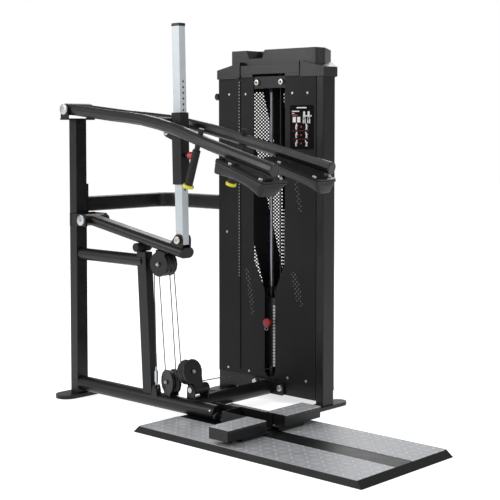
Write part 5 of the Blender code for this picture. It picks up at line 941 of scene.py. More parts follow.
    @classmethod
    def spread(cls, model: Piece, name: str, places: Iterable[Matrix]) -> Piece:
        """Copy a model to several places and join the copies."""
        return cls.join(name, [cls.copy(model, name, place) for place in places])

    @staticmethod
    def drop(piece: Piece) -> None:
        """Remove a model that was only copied from."""
        bpy.data.objects.remove(piece, do_unlink=True)

    @staticmethod
    def along(place: Sequence[float], direction: Sequence[float]) -> Matrix:
        """Return the matrix that puts a mesh along Z at a place, along a direction."""
        turn = Vector((0, 0, 1)).rotation_difference(Vector(direction).normalized())
        return Matrix.Translation(place) @ turn.to_matrix().to_4x4()


def dress(piece: Piece, look: Look) -> Piece:
    """Give a piece one finish all over.

    Args:
        piece: the piece or solid.
        look: its finish.

    Returns:
        The same piece.
    """
    if not piece.material_slots:
        piece.data.materials.append(None)
    for slot in piece.material_slots:
        slot.material = look.value.material()
    return piece


def fit(piece: Piece, look: Look, body: Body, node: Optional[str] = None) -> Piece:
    """Dress a finished piece and fix it to its body.

    Args:
        piece: the piece, in place.
        look: its finish.
        body: what it rides on.
        node: solid that it stands for.

    Returns:
        The same piece.
    """
    dress(piece, look)
    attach(piece, body.value)
    if node:
        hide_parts(node)
    log.info("%s: %d faces on %s", piece.name, len(piece.data.polygons), body.value)
    return piece


def label_of(side: int) -> str:
    """Return the end of the piece names of one side."""
    return "near" if side < 0 else "far"


# Sub-assemblies


@dataclass
class Skin:
    """Solid whose merged copy gets rounded edges and smooth walls.

    A rounding as wide as soft_edge keeps its own light instead of the flat walls' light.
    """

    node: str
    look: Look
    edge: float = 0.0012
    angle: float = EDGE_ANGLE
    flat: float = 0.6
    soft_edge: float = 0.0030

    def build(self) -> Piece:
        """Copy the solid, merge it, round it and dress it.

        Returns:
            The skin.
        """
        piece = Bench.solid(self.node, self.node + "_skin", self.flat)
        Bench.soften(piece, self.edge, angle=self.angle, weigh=self.edge < self.soft_edge)
        return fit(piece, self.look, BODY_OF[self.node], self.node)


@dataclass
class Skins:
    """Finish and rounding of each solid that keeps its shape."""

    kept: tuple[tuple[str, Look], ...] = (
        ("lane_near", Look.TREAD), ("lane_far", Look.TREAD), ("step_tread_near", Look.TREAD),
        ("step_tread_far", Look.TREAD), ("placard", Look.PRINT))
    powder: tuple[str, ...] = (
        "rear_post", "main_rail", "lever_post", "brace", "cross_beam", "tower_base",
        "tower_upright_left", "tower_upright_right", "stack_top_bracket", "platform_base",
        "step_frame", "lower_pulley_guard", "pad_plate_near", "pad_plate_far", "arm_frame",
        "lower_lever", "pulley_hanger", "sleeve", "swivel_bracket")
    # Solid, finish and width of the rounding.
    others: tuple[tuple[str, Look, float], ...] = (
        ("front_panel", Look.SHEET, 0.0008), ("back_cover", Look.COVER, 0.0006),
        ("top_cap", Look.MOULDED, 0.0016), ("lower_plates", Look.IRON, 0.0010),
        ("selector_head", Look.IRON, 0.0010), ("stop_bumper", Look.RUBBER, 0.0030),
        ("column", Look.SILVER, 0.0006), ("arm_pivot_shaft", Look.ZINC, 0.0015),
        ("swivel_bolt", Look.ZINC, 0.0010), ("turnbuckle", Look.BRIGHT, 0.0008),
        ("guide_rod_left", Look.CHROME, 0.0010), ("guide_rod_right", Look.CHROME, 0.0010))
    bent_cable: tuple[str, ...] = (
        "cable_lower_wrap", "cable_near_wrap", "cable_far_wrap", "cable_swivel_wrap",
        "cable_tower_run")

    def build(self) -> None:
        """Dress the kept solids and make the rounded skins."""
        for node, look in self.kept:
            dress(frame["nodes"][node], look)
        skins = [Skin(node, Look.POWDER) for node in self.powder]
        skins += [Skin(node, look, edge) for node, look, edge in self.others]
        skins += [Skin(node, Look.CABLE, 0.0, STRAND_ANGLE) for node in self.bent_cable]
        for skin in skins:
            skin.build()


@dataclass
class Pulley:
    """Grooved nylon wheel with a recessed web and a raised hub."""

    name: str
    pitch_radius: float = 0.0515
    width: float = 0.034
    hub_radius: float = 0.016
    rim: float = 0.005
    lip: float = 0.0025
    mouth_share: float = 0.8
    seat: float = 0.0032
    groove: float = 0.0030
    band_share: float = 0.16
    step: float = 0.002
    edge: float = 0.0008
    groove_angle: float = 30.0
    web_sink: float = 0.0042
    hub_rise: float = 0.0036
    sides: int = 56

    def build(self) -> Piece:
        """Model the wheel and put it on its axle.

        Returns:
            The wheel.
        """
        node = self.name + "_pulley"
        outer = self.pitch_radius + self.rim
        half = self.width / 2
        wheel = Bench.cylinder(node + "_wheel", outer, self.width, self.sides)
        mouth = max((half - self.lip) * self.mouth_share, self.seat * 1.3)
        Bench.rings(wheel, (-mouth, -self.seat, 0.0, self.seat, mouth))
        for height in (-self.seat, 0.0, self.seat):
            Bench.widen(wheel, height, outer / 2, (self.pitch_radius - self.groove) / outer)
        band = outer * self.band_share
        Bench.faces(wheel, lambda middle, normal: abs(normal.z) > FACING
                    and middle.length < outer / 2 + half)
        for thickness, depth in ((band, 0.0), (self.step, -self.web_sink),
                                 (outer - band - 2 * self.step - self.hub_radius, 0.0),
                                 (self.step, self.hub_rise)):
            bpy.ops.mesh.inset(thickness=thickness, depth=depth)
        Bench.done()
        Bench.soften(wheel, self.edge, angle=self.groove_angle)
        joint = JOINTS[self.name + "_spin"]
        wheel.data.transform(Bench.along(joint["pos_m"], joint["axis"]))
        return fit(wheel, Look.WHEEL, BODY_OF[node], node)


@dataclass
class Pulleys:
    """The six cable pulleys with their axle nuts."""

    # Name, radius, height, height of the foot, sides, edge and its angle.
    nut_parts: tuple[tuple[str, float, float, float, int, float, float], ...] = (
        ("nut", 0.00700, 0.0060, 0.0012, 6, 0.0009, CORNER_ANGLE),
        ("washer", 0.00875, 0.0015, 0.0, 28, 0.0004, EDGE_ANGLE),
        ("bolt_end", 0.00350, 0.0090, 0.0006, 20, 0.0008, EDGE_ANGLE))
    wheels: tuple[Pulley, ...] = (
        Pulley("near_upper", width=0.026), Pulley("far_upper", width=0.026), Pulley("lower"),
        Pulley("swivel"), Pulley("base"),
        Pulley("top", pitch_radius=0.079, width=0.022, hub_radius=0.020))
    # Name, body, joint, reach to each side, and shift against the axis.
    axles: tuple[tuple[str, Body, str, float, float], ...] = (
        ("hanger", Body.LEVER, "near_upper_spin", 0.0385, 0.014),
        ("lower", Body.FRAME, "lower_spin", 0.0280, 0.0),
        ("swivel", Body.SWIVEL, "swivel_spin", 0.0280, 0.0))

    def nut(self) -> Piece:
        """Model a hexagonal nut on a round washer with its bolt end, along Z from zero.

        Returns:
            The nut, washer and bolt end.
        """
        return Bench.join("nut", [
            Bench.soften(Bench.drum(name, radius, height, base, sides), edge, angle=angle)
            for name, radius, height, base, sides, edge, angle in self.nut_parts])

    def build(self) -> None:
        """Model the wheels, then a nut on both sides of each axle that shows."""
        for wheel in self.wheels:
            wheel.build()
        model = self.nut()
        for name, body, joint, reach, shift in self.axles:
            axis = Vector(JOINTS[joint]["axis"]).normalized()
            middle = Vector(JOINTS[joint]["pos_m"]) - axis * shift
            places = [Bench.along(middle + axis * side * reach, axis * side) for side in SIDES]
            fit(Bench.spread(model, name + "_axle_nuts", places), Look.ZINC, body)
        Bench.drop(model)


@dataclass(frozen=True)
class Head:
    """Round screw head or disc with a hexagonal socket, along Z from zero."""

    radius: float
    height: float
    socket: float
    sides: int = 44
    bevel_share: float = 0.35
    segments: int = 3
    profile: float = 0.5
    socket_base: float = 0.55

    def model(self) -> Piece:
        """Model the head.

        Returns:
            The head.
        """
        head = Bench.drum("head", self.radius, self.height, 0.0, self.sides)
        Bench.bevel(head, self.height * self.bevel_share, self.segments, self.profile,
                    lambda p: p.z > self.height / 2)
        if self.socket > 0:
            tool = Bench.drum("socket", self.socket, self.height,
                              self.height * self.socket_base, 6)
            Bench.modify(head, "BOOLEAN", operation="DIFFERENCE", solver="EXACT", object=tool)
            Bench.drop(tool)
        return Bench.soften(head, 0.0, angle=HEAD_ANGLE)

    def set_on(self, name: str, look: Look, body: Body, places: Iterable[Matrix],
               slot: str = "zinc") -> Piece:
        """Fit copies of the head to several places.

        Args:
            name: the joined object's name.
            look: finish of the heads.
            body: what the heads ride on.
            places: matrices of the heads.
            slot: material slot of the record; not used.

        Returns:
            The joined heads.
        """
        model = self.model()
        heads = Bench.spread(model, name, places)
        Bench.drop(model)
        return fit(heads, look, body)


@dataclass
class Screws:
    """Button head screws with hexagonal sockets."""

    tower_front: float = 0.570
    beam_flange: float = 0.5600
    crossmember: float = 0.5733
    # X and Z of each screw; on the pads, X and Y in the plate's frame.
    panel_spots: tuple[tuple[float, float], ...] = (
        (0.502, 1.515), (0.616, 1.515), (0.923, 1.515), (1.019, 1.515), (0.487, 0.821),
        (0.496, 0.127), (0.640, 0.127), (0.895, 0.127), (1.013, 0.127))
    member_spots: tuple[tuple[float, float], ...] = ((0.693, 1.5715), (0.852, 1.5715))
    flange_spots: tuple[tuple[float, float], ...] = ((0.6915, 0.0830), (0.8555, 0.0720))
    pad_spots: tuple[tuple[float, float], ...] = (
        (-0.073, -0.055), (-0.073, 0.055), (0.1225, -0.055), (0.1225, 0.055))
    pad_plate: float = 0.0030
    socket_share: float = 0.42

    def button(self, radius: float, height: float, hexagon: bool = True) -> Head:
        """Return a button head, with or without its socket."""
        return Head(radius, height, radius * self.socket_share if hexagon else 0.0, sides=28,
                    bevel_share=0.62, segments=4, profile=0.6)

    def facing(self, spots: Iterable[tuple[float, float]], y: float) -> list[Matrix]:
        """Return matrices of heads on a wall that faces the front."""
        return [Bench.along((x, y, z), (0, -1, 0)) for x, z in spots]

    def build(self) -> None:
        """Set all the screws that show."""
        self.button(0.0062, 0.0030).set_on(
            "panel_screws", Look.ZINC, Body.FRAME,
            self.facing(self.panel_spots, self.tower_front))
        self.button(0.0166, 0.0114).set_on(
            "crossmember_bolts", Look.ZINC, Body.FRAME,
            self.facing(self.member_spots, self.crossmember))
        self.button(0.0166, 0.0114, hexagon=False).set_on(
            "flange_bolts", Look.ZINC, Body.FRAME,
            self.facing(self.flange_spots, self.beam_flange))
        pads = [ShoulderPad(side).place() @ Matrix.Translation((x, y, self.pad_plate))
                for side in SIDES for x, y in self.pad_spots]
        self.button(0.0100, 0.0085).set_on("pad_bolts", Look.ZINC, Body.ARMS, pads)


@dataclass
class ShoulderPad:
    """Firm upholstered pad with piping along its upper edge."""

    side: int
    x: float = 1.323
    y: float = 0.155
    z: float = 1.172
    pitch: float = math.radians(17.3)
    yaw: float = math.radians(4.8)
    length: float = 0.310
    width: float = 0.145
    corner: float = 0.012
    corner_steps: int = 4
    voxel: float = 0.0045
    swell: float = 0.0035
    seam: float = 0.004
    seam_reach: float = 0.020
    pressure: float = 4.0
    stiffness: float = 40.0
    quality: int = 5
    frames: int = 12
    welt_radius: float = 0.0022
    welt_sink: float = 0.0075

    def place(self) -> Matrix:
        """Frame of the pad's plate: X forward and down, Z out of its top."""
        turn = Matrix.Rotation(self.side * self.yaw, 4, "Z") @ Matrix.Rotation(self.pitch, 4, "Y")
        return Matrix.Translation((self.x, self.side * self.y, self.z)) @ turn

    def body(self) -> Piece:
        """Copy the solid, remesh it and let a little pressure fill it.

        Returns:
            The upholstered body.
        """
        label = label_of(self.side)
        pad = Bench.solid("shoulder_pad_" + label, "pad_cushion_" + label)
        Bench.modify(pad, "REMESH", mode="VOXEL", voxel_size=self.voxel, adaptivity=0.0)
        self.inflate(pad)
        Bench.modify(pad, "SMOOTH", factor=0.5, iterations=3)
        Bench.modify(pad, "SUBSURF", levels=1, render_levels=1)
        Bench.pick(pad)
        bpy.ops.object.shade_smooth()
        return pad

    def inflate(self, pad: Piece) -> None:
        """Run the cloth for a few frames and cap how far a point moves.

        Args:
            pad: the remeshed pad.
        """
        rest = [v.co.copy() for v in pad.data.vertices]
        upright = self.place().inverted()
        Bench.pick(pad)
        cloth = pad.modifiers.new("Cloth", "CLOTH")
        cloth.settings.use_pressure = True
        cloth.settings.uniform_pressure_force = self.pressure
        cloth.settings.quality = self.quality
        cloth.settings.tension_stiffness = self.stiffness
        cloth.settings.effector_weights.gravity = 0.0
        cloth.point_cache.frame_start = 1
        cloth.point_cache.frame_end = self.frames
        for step in range(1, self.frames + 1):
            bpy.context.scene.frame_set(step)
        bpy.ops.object.modifier_apply(modifier=cloth.name)
        bpy.context.scene.frame_set(1)
        for vertex, start in zip(pad.data.vertices, rest):
            move = vertex.co - start
            depth = -self.seam - (upright @ start).z
            limit = self.swell * min(1.0, max(0.0, depth / self.seam_reach))
            if move.length > limit:
                move = move.normalized() * limit if limit > 0 else Vector()
            vertex.co = start + move

    def piping(self) -> Piece:
        """Run a thin welt round the pad under its plate.

        Returns:
            The welt.
        """
        reach_x, reach_y = self.length / 2 - self.corner, self.width / 2 - self.corner
        path = []
        for x, y, start in ((reach_x, reach_y, 0.0), (-reach_x, reach_y, 90.0),
                            (-reach_x, -reach_y, 180.0), (reach_x, -reach_y, 270.0)):
            for i in range(self.corner_steps + 1):
                angle = math.radians(start + 90.0 / self.corner_steps * i)
                path.append((x + self.corner * math.cos(angle),
                             y + self.corner * math.sin(angle), -self.welt_sink))
        curve = bpy.data.curves.new("welt", "CURVE")
        curve.dimensions = "3D"
        curve.bevel_depth = self.welt_radius
        curve.bevel_resolution = 2
        spline = curve.splines.new("POLY")
        spline.points.add(len(path) - 1)
        for point, place in zip(spline.points, path):
            point.co = (*place, 1.0)
        spline.use_cyclic_u = True
        name = "pad_welt_" + label_of(self.side)
        welt = Bench.link(name, curve)
        welt.matrix_world = self.place()
        Bench.pick(welt)
        bpy.ops.object.convert(target="MESH")
        welt = Bench.settle(Bench.named(name))
        bpy.ops.object.shade_smooth()
        return welt

    def build(self) -> None:
        """Make the cushion and its welt."""
        cushion = fit(self.body(), Look.VINYL, Body.ARMS, "shoulder_pad_" + label_of(self.side))
        fit(self.piping(), Look.SEAM, Body.ARMS)


@dataclass
class HandGrip:
    """Ribbed rubber grip with a bright ring at the handle's lower end."""

    side: int
    y: float = 0.136
    top: tuple[float, float] = (1.0135, 1.345)
    end: tuple[float, float] = (0.927, 1.085)
    radius: float = 0.0180
    length: float = 0.160
    plain: float = 0.010
    ribs: int = 15
    waist: float = 0.90
    cuts: tuple[float, ...] = (0.30, 0.50, 0.70)
    edge: float = 0.0008
    ring_radius: float = 0.0250
    ring_length: float = 0.015
    ring_edge: float = 0.0045
    ring_band: float = 0.006
    ring_sink: float = -0.0015

    def build(self) -> None:
        """Model the grip and the ring along the handle."""
        label = label_of(self.side)
        low, high = (Vector((x, self.side * self.y, z)) for x, z in (self.end, self.top))
        along = (high - low).normalized()
        grip = Bench.cylinder("handle_grip_" + label, self.radius, self.length, 36)
        pitch = (self.length - 2 * self.plain) / self.ribs
        start = self.plain - self.length / 2
        Bench.rings(grip, [start + (i + share) * pitch for i in range(self.ribs)
                           for share in self.cuts])
        for i in range(self.ribs):
            Bench.widen(grip, start + (i + self.cuts[1]) * pitch, self.radius / 2, self.waist)
        Bench.soften(grip, self.edge, angle=CORNER_ANGLE)
        grip.data.transform(Bench.along(low + along * (self.ring_length + self.length / 2),
                                        along))
        fit(grip, Look.RUBBER, Body.ARMS, "grip_" + label)
        ring = Bench.cylinder("handle_ring_" + label, self.ring_radius, self.ring_length, 40)
        Bench.soften(ring, self.ring_edge, segments=4, angle=CORNER_ANGLE)
        Bench.faces(ring, lambda spot, normal: normal.z < -FACING
                    and spot.length < self.ring_radius)
        bpy.ops.mesh.inset(thickness=self.ring_band, depth=self.ring_sink)
        Bench.done()
        ring.data.transform(Bench.along(low + along * self.ring_length / 2, along))
        fit(ring, Look.YELLOW, Body.ARMS)


@dataclass
class Cables:
    """Round straight strands between the moving bodies."""

    radius: float = 0.0025
    sides: int = 14
    steps: int = 24
    # Solid, body of its lower end and body of its upper end.
    routes: tuple[tuple[str, Body, Body], ...] = (
        ("cable_anchor_strand", Body.FRAME, Body.LEVER),
        ("cable_down_strand", Body.FRAME, Body.LEVER),
        ("cable_up_strand", Body.FRAME, Body.LEVER),
        ("cable_swivel_strand", Body.FRAME, Body.LEVER),
        ("cable_stack_drop", Body.STACK, Body.FRAME))

    def ends(self, node: str) -> tuple[Vector, Vector]:
        """Find the middle of a strand's lower and upper end.

        Args:
            node: the strand's solid.

        Returns:
            The two middles.
        """
        corners = [v.co for v in frame["nodes"][node].data.vertices]
        middle = (min(c.z for c in corners) + max(c.z for c in corners)) / 2
        low = [c for c in corners if c.z < middle]
        high = [c for c in corners if c.z >= middle]
        return sum(low, Vector()) / len(low), sum(high, Vector()) / len(high)

    def strand(self, node: str, first: Body, second: Body) -> Piece:
        """Model one straight strand with many rings.

        Args:
            node: the solid that it stands for.
            first: body of its lower end; not used.
            second: body of its upper end; not used.

        Returns:
            The strand.
        """
        low, high = self.ends(node)
        length = (high - low).length
        strand = Bench.cylinder(node + "_rope", self.radius, length, self.sides)
        Bench.rings(strand, [length * (i / self.steps - 0.5) for i in range(1, self.steps)])
        Bench.soften(strand, 0.0, angle=STRAND_ANGLE)
        strand.data.transform(Bench.along((low + high) / 2, high - low))
        dress(strand, Look.CABLE)
        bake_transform(strand)
        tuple(low)
        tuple(high)
        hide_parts(node)
        return strand

    def build(self) -> None:
        """Model the strands of the lever's pulleys and the drop to the stack."""
        for node, first, second in self.routes:
            log.info("%s: stretches", self.strand(node, first, second).name)


@dataclass
class Selector:
    """Round selector knob with a waist, its shaft and a small pull ring."""

    x: float = 0.773
    knob_front: float = 0.545
    z: float = 0.3866
    radius: float = 0.0225
    knob_length: float = 0.018
    knob_edge: float = 0.0078
    # How far the neck goes on, and its share of the width before.
    neck: tuple[tuple[float, float], ...] = ((0.001, 0.80), (0.024, 0.75))
    shaft_radius: float = 0.0046
    shaft_length: float = 0.118
    shaft_start: float = 0.005
    shaft_edge: float = 0.0012
    ring_radius: float = 0.0075
    ring_wire: float = 0.0013
    ring_behind: float = 0.006
    ring_below: float = 0.0065
    ring_turn: float = 25.0

    def build(self) -> None:
        """Model the knob, its shaft and the ring."""
        knob = Bench.cylinder("selector_knob", self.radius, self.knob_length, 40)
        Bench.soften(knob, self.knob_edge, segments=5, angle=CORNER_ANGLE)
        Bench.faces(knob, lambda spot, normal: normal.z > FACING and spot.length < self.radius)
        for rise, share in self.neck:
            bpy.ops.mesh.extrude_region_move(TRANSFORM_OT_translate={"value": (0, 0, rise)})
            bpy.ops.transform.resize(value=(share, share, 1.0))
        Bench.done()
        middle = self.knob_front + self.knob_length / 2
        knob.data.transform(Bench.along((self.x, middle, self.z), (0, 1, 0)))
        fit(knob, Look.RED, Body.STACK_PIN, "selector_pin")
        shaft = Bench.cylinder("selector_shaft", self.shaft_radius, self.shaft_length, 20)
        Bench.soften(shaft, self.shaft_edge)
        middle = self.knob_front + self.shaft_start + self.shaft_length / 2
        shaft.data.transform(Bench.along((self.x, middle, self.z), (0, 1, 0)))
        fit(shaft, Look.CHROME, Body.STACK_PIN)
        Bench.clear()
        bpy.ops.mesh.primitive_torus_add(
            major_radius=self.ring_radius, minor_radius=self.ring_wire, major_segments=28,
            minor_segments=8, rotation=(math.radians(90), 0, math.radians(self.ring_turn)),
            location=(self.x, self.knob_front + self.ring_behind,
                      self.z - self.radius - self.ring_below))
        ring = Bench.settle(Bench.named("selector_ring"))
        Bench.soften(ring, 0.0, angle=STRAND_ANGLE)
        fit(ring, Look.CHROME, Body.STACK_PIN)


@dataclass
class StackTeeth:
    """Pale numberless marker strip on the front of the weight plates."""

    x: float = 0.7885
    y: float = 0.6000
    bottom: float = 0.162
    pitch: float = 0.0155
    level: float = 0.49
    low: Spot = (-0.0095, -0.0085, -0.0064)
    high: Spot = (0.0095, 0.0004, 0.0064)
    taper: Spot = (0.86, 1.0, 0.80)
    edge: float = 0.0011
    # End of the name, body, and numbers of the plates from below.
    groups: tuple[tuple[str, Body, range], ...] = (
        ("lower", Body.FRAME, range(14)), ("upper", Body.STACK, range(14, 20)))

    def build(self) -> None:
        """Model one tooth, copy it to each plate and join each body's teeth."""
        tooth = Bench.block("tooth", self.low, self.high)
        Bench.faces(tooth, lambda spot, normal: normal.y < -FACING)
        bpy.ops.transform.resize(value=self.taper)
        Bench.done()
        Bench.soften(tooth, self.edge)
        for label, body, numbers in self.groups:
            heights = [self.bottom + (number + self.level) * self.pitch for number in numbers]
            places = [Matrix.Translation((self.x, self.y, height)) for height in heights]
            fit(Bench.spread(tooth, "stack_marks_" + label, places), Look.WHITE, body)
        Bench.drop(tooth)


@dataclass
class PivotCaps:
    """Bright discs and bolt heads with sockets on the pivots, and the bolts of the rail's end."""

    disc: Head = Head(0.0264, 0.0084, 0.0050)
    # Name, body, X and Z of the pivot, and distance of the face from the middle.
    discs: tuple[tuple[str, Body, tuple[float, float], float], ...] = (
        ("lever_pivot_discs", Body.LEVER, (0.116, 0.895), 0.0753),
        ("arm_pivot_discs", Body.ARM_SHAFT, (0.0, 1.439), 0.0851))
    column_head: Head = Head(0.0180, 0.0070, 0.0062)
    column_at: tuple[float, float] = (0.74999, 0.83498)
    column_face: float = 0.0327
    shank_radius: float = 0.0080
    pin_head: Head = Head(0.0126, 0.0052, 0.0050)
    pin_at: tuple[float, float] = (0.675, 1.327)
    pin_face: float = 0.0290
    stop_head: Head = Head(0.0200, 0.0120, 0.0040)
    stop_at: Spot = (0.9755, -0.012, 0.0520)
    screw_head: Head = Head(0.0052, 0.0040, 0.0022)
    # Place and direction of each screw.
    screws: tuple[tuple[Spot, Spot], ...] = (
        ((0.9755, 0.0165, 0.0500), (1, 0, 0)), ((0.9600, -0.0345, 0.0790), (0, -0.94, 0.34)))

    def both(self, at: tuple[float, float], face: float) -> list[Matrix]:
        """Return matrices on both sides of a pivot at an X and Z."""
        return [Bench.along((at[0], side * face, at[1]), (0, side, 0)) for side in SIDES]

    def column_bolt(self) -> None:
        """Fit the column's bolt: its shank with a head on both ends."""
        name = "column_bolt_heads"
        model = self.column_head.model()
        heads = Bench.spread(model, name, self.both(self.column_at, self.column_face))
        Bench.drop(model)
        shank = Bench.cylinder("shank", self.shank_radius, 2 * self.column_face + 0.002, 24)
        x, z = self.column_at
        shank.data.transform(Bench.along((x, 0.0, z), (0, 1, 0)))
        Bench.soften(shank, 0.0, angle=HEAD_ANGLE)
        fit(Bench.join(name, [heads, shank]), Look.ZINC, BODY_OF["column_bolt"], "column_bolt")

    def build(self) -> None:
        """Fit the caps of the arm, lever and column pivots, the sleeve's ears and the rail."""
        for name, body, at, face in self.discs:
            self.disc.set_on(name, Look.BRIGHT, body, self.both(at, face))
        self.column_bolt()
        self.pin_head.set_on("sleeve_pin_heads", Look.ZINC, Body.SLEEVE,
                             self.both(self.pin_at, self.pin_face))
        self.stop_head.set_on("rail_end_stop", Look.MOULDED, Body.FRAME,
                              [Bench.along(self.stop_at, (1, 0, 0))], slot="black_plastic")
        self.screw_head.set_on("rail_end_screws", Look.ZINC, Body.FRAME,
                               [Bench.along(*spot) for spot in self.screws])


@dataclass
class ColumnCap:
    """Moulded plug with a rounded rim on the sliding column."""

    pivot: Spot = (0.749991, 0.0, 0.834981)
    lean: float = math.atan(0.0238)
    half_width: float = 0.0251
    half_depth: float = 0.0208
    top: float = 0.9917
    height: float = 0.0150
    rim: float = 0.0042
    edge: float = 0.0014

    def build(self) -> None:
        """Model the plug over the column's end."""
        cap = Bench.block("column_plug",
                          (-self.half_width, -self.half_depth, self.top - self.height),
                          (self.half_width, self.half_depth, self.top))
        Bench.bevel(cap, self.rim, 4, 0.5, lambda p: p.z > self.top - self.height / 2)
        Bench.soften(cap, self.edge, angle=CORNER_ANGLE)
        cap.data.transform(Matrix.Translation(self.pivot) @ Matrix.Rotation(-self.lean, 4, "Y"))
        fit(cap, Look.MOULDED, BODY_OF["column_cap"], "column_cap")


@dataclass
class CapRibs:
    """Rib and fin at the joints of the cap, sills under its skirt and the panel's seal."""

    front: float = 0.5630
    bottom: float = 1.5965
    seat: float = 0.034
    nose_share: float = 0.45
    edge: float = 0.0014
    # Name, middle X, width, depth and height of the top.
    ribs: tuple[tuple[str, float, float, float, float], ...] = (
        ("cap_rib_left", 0.5725, 0.026, 0.0060, 1.6735),
        ("cap_fin_right", 0.9735, 0.0040, 0.0045, 1.6700))
    sills: tuple[tuple[float, float], ...] = ((0.5870, 0.6660), (0.8790, 0.9705))
    sill_front: float = 0.5638
    sill_back: float = 0.5697
    sill_bottom: float = 1.5975
    sill_top: float = 1.6118
    sill_edge: float = 0.0010
    seal_low: Spot = (1.0560, 0.5733, 0.1180)
    seal_high: Spot = (1.0716, 0.5765, 1.5900)
    seal_edge: float = 0.0008

    def rib(self, name: str, x: float, width: float, depth: float, top: float) -> Piece:
        """Model one upright rib with a rounded nose.

        Args:
            name: the rib's name.
            x: its middle.
            width: its width.
            depth: how far it stands out.
            top: height of its top.

        Returns:
            The rib.
        """
        rib = Bench.block(name, (x - width / 2, self.front - depth, self.bottom),
                          (x + width / 2, self.front + self.seat, top))
        Bench.bevel(rib, min(width, depth) * self.nose_share, 4, 0.5, lambda p: p.y < self.front)
        return Bench.soften(rib, self.edge, angle=CORNER_ANGLE)

    def build(self) -> None:
        """Fit the rib and the fin, the sills and the seal."""
        for row in self.ribs:
            fit(self.rib(*row), Look.MOULDED, Body.FRAME)
        sills = [Bench.soften(Bench.block("sill", (left, self.sill_front, self.sill_bottom),
                                          (right, self.sill_back, self.sill_top)),
                              self.sill_edge)
                 for left, right in self.sills]
        fit(Bench.join("cap_sills", sills), Look.MOULDED, Body.FRAME)
        seal = Bench.block("panel_seal", self.seal_low, self.seal_high)
        fit(Bench.soften(seal, self.seal_edge), Look.RUBBER, Body.FRAME)


@dataclass
class ArmPlugs:
    """Round moulded plugs on the front ends of the shoulder arms."""

    end: Spot = (1.477, 0.183, 1.177)
    before: Spot = (1.077, 0.150, 1.277)
    radius: float = 0.0272
    length: float = 0.011
    inside: float = 0.004
    edge: float = 0.0045

    def place(self, side: int) -> Matrix:
        """Return the matrix of the plug in one arm's end."""
        end, before = (Vector(spot) * Vector((1, side, 1)) for spot in (self.end, self.before))
        return Bench.along(end, end - before)

    def build(self) -> None:
        """Model one plug and put a copy on each arm."""
        plug = Bench.drum("arm_plug", self.radius, self.length, -self.inside, 40)
        Bench.soften(plug, self.edge, segments=4, angle=CORNER_ANGLE)
        fit(Bench.spread(plug, "arm_plugs", [self.place(side) for side in SIDES]), Look.MOULDED,
            Body.ARMS)
        Bench.drop(plug)


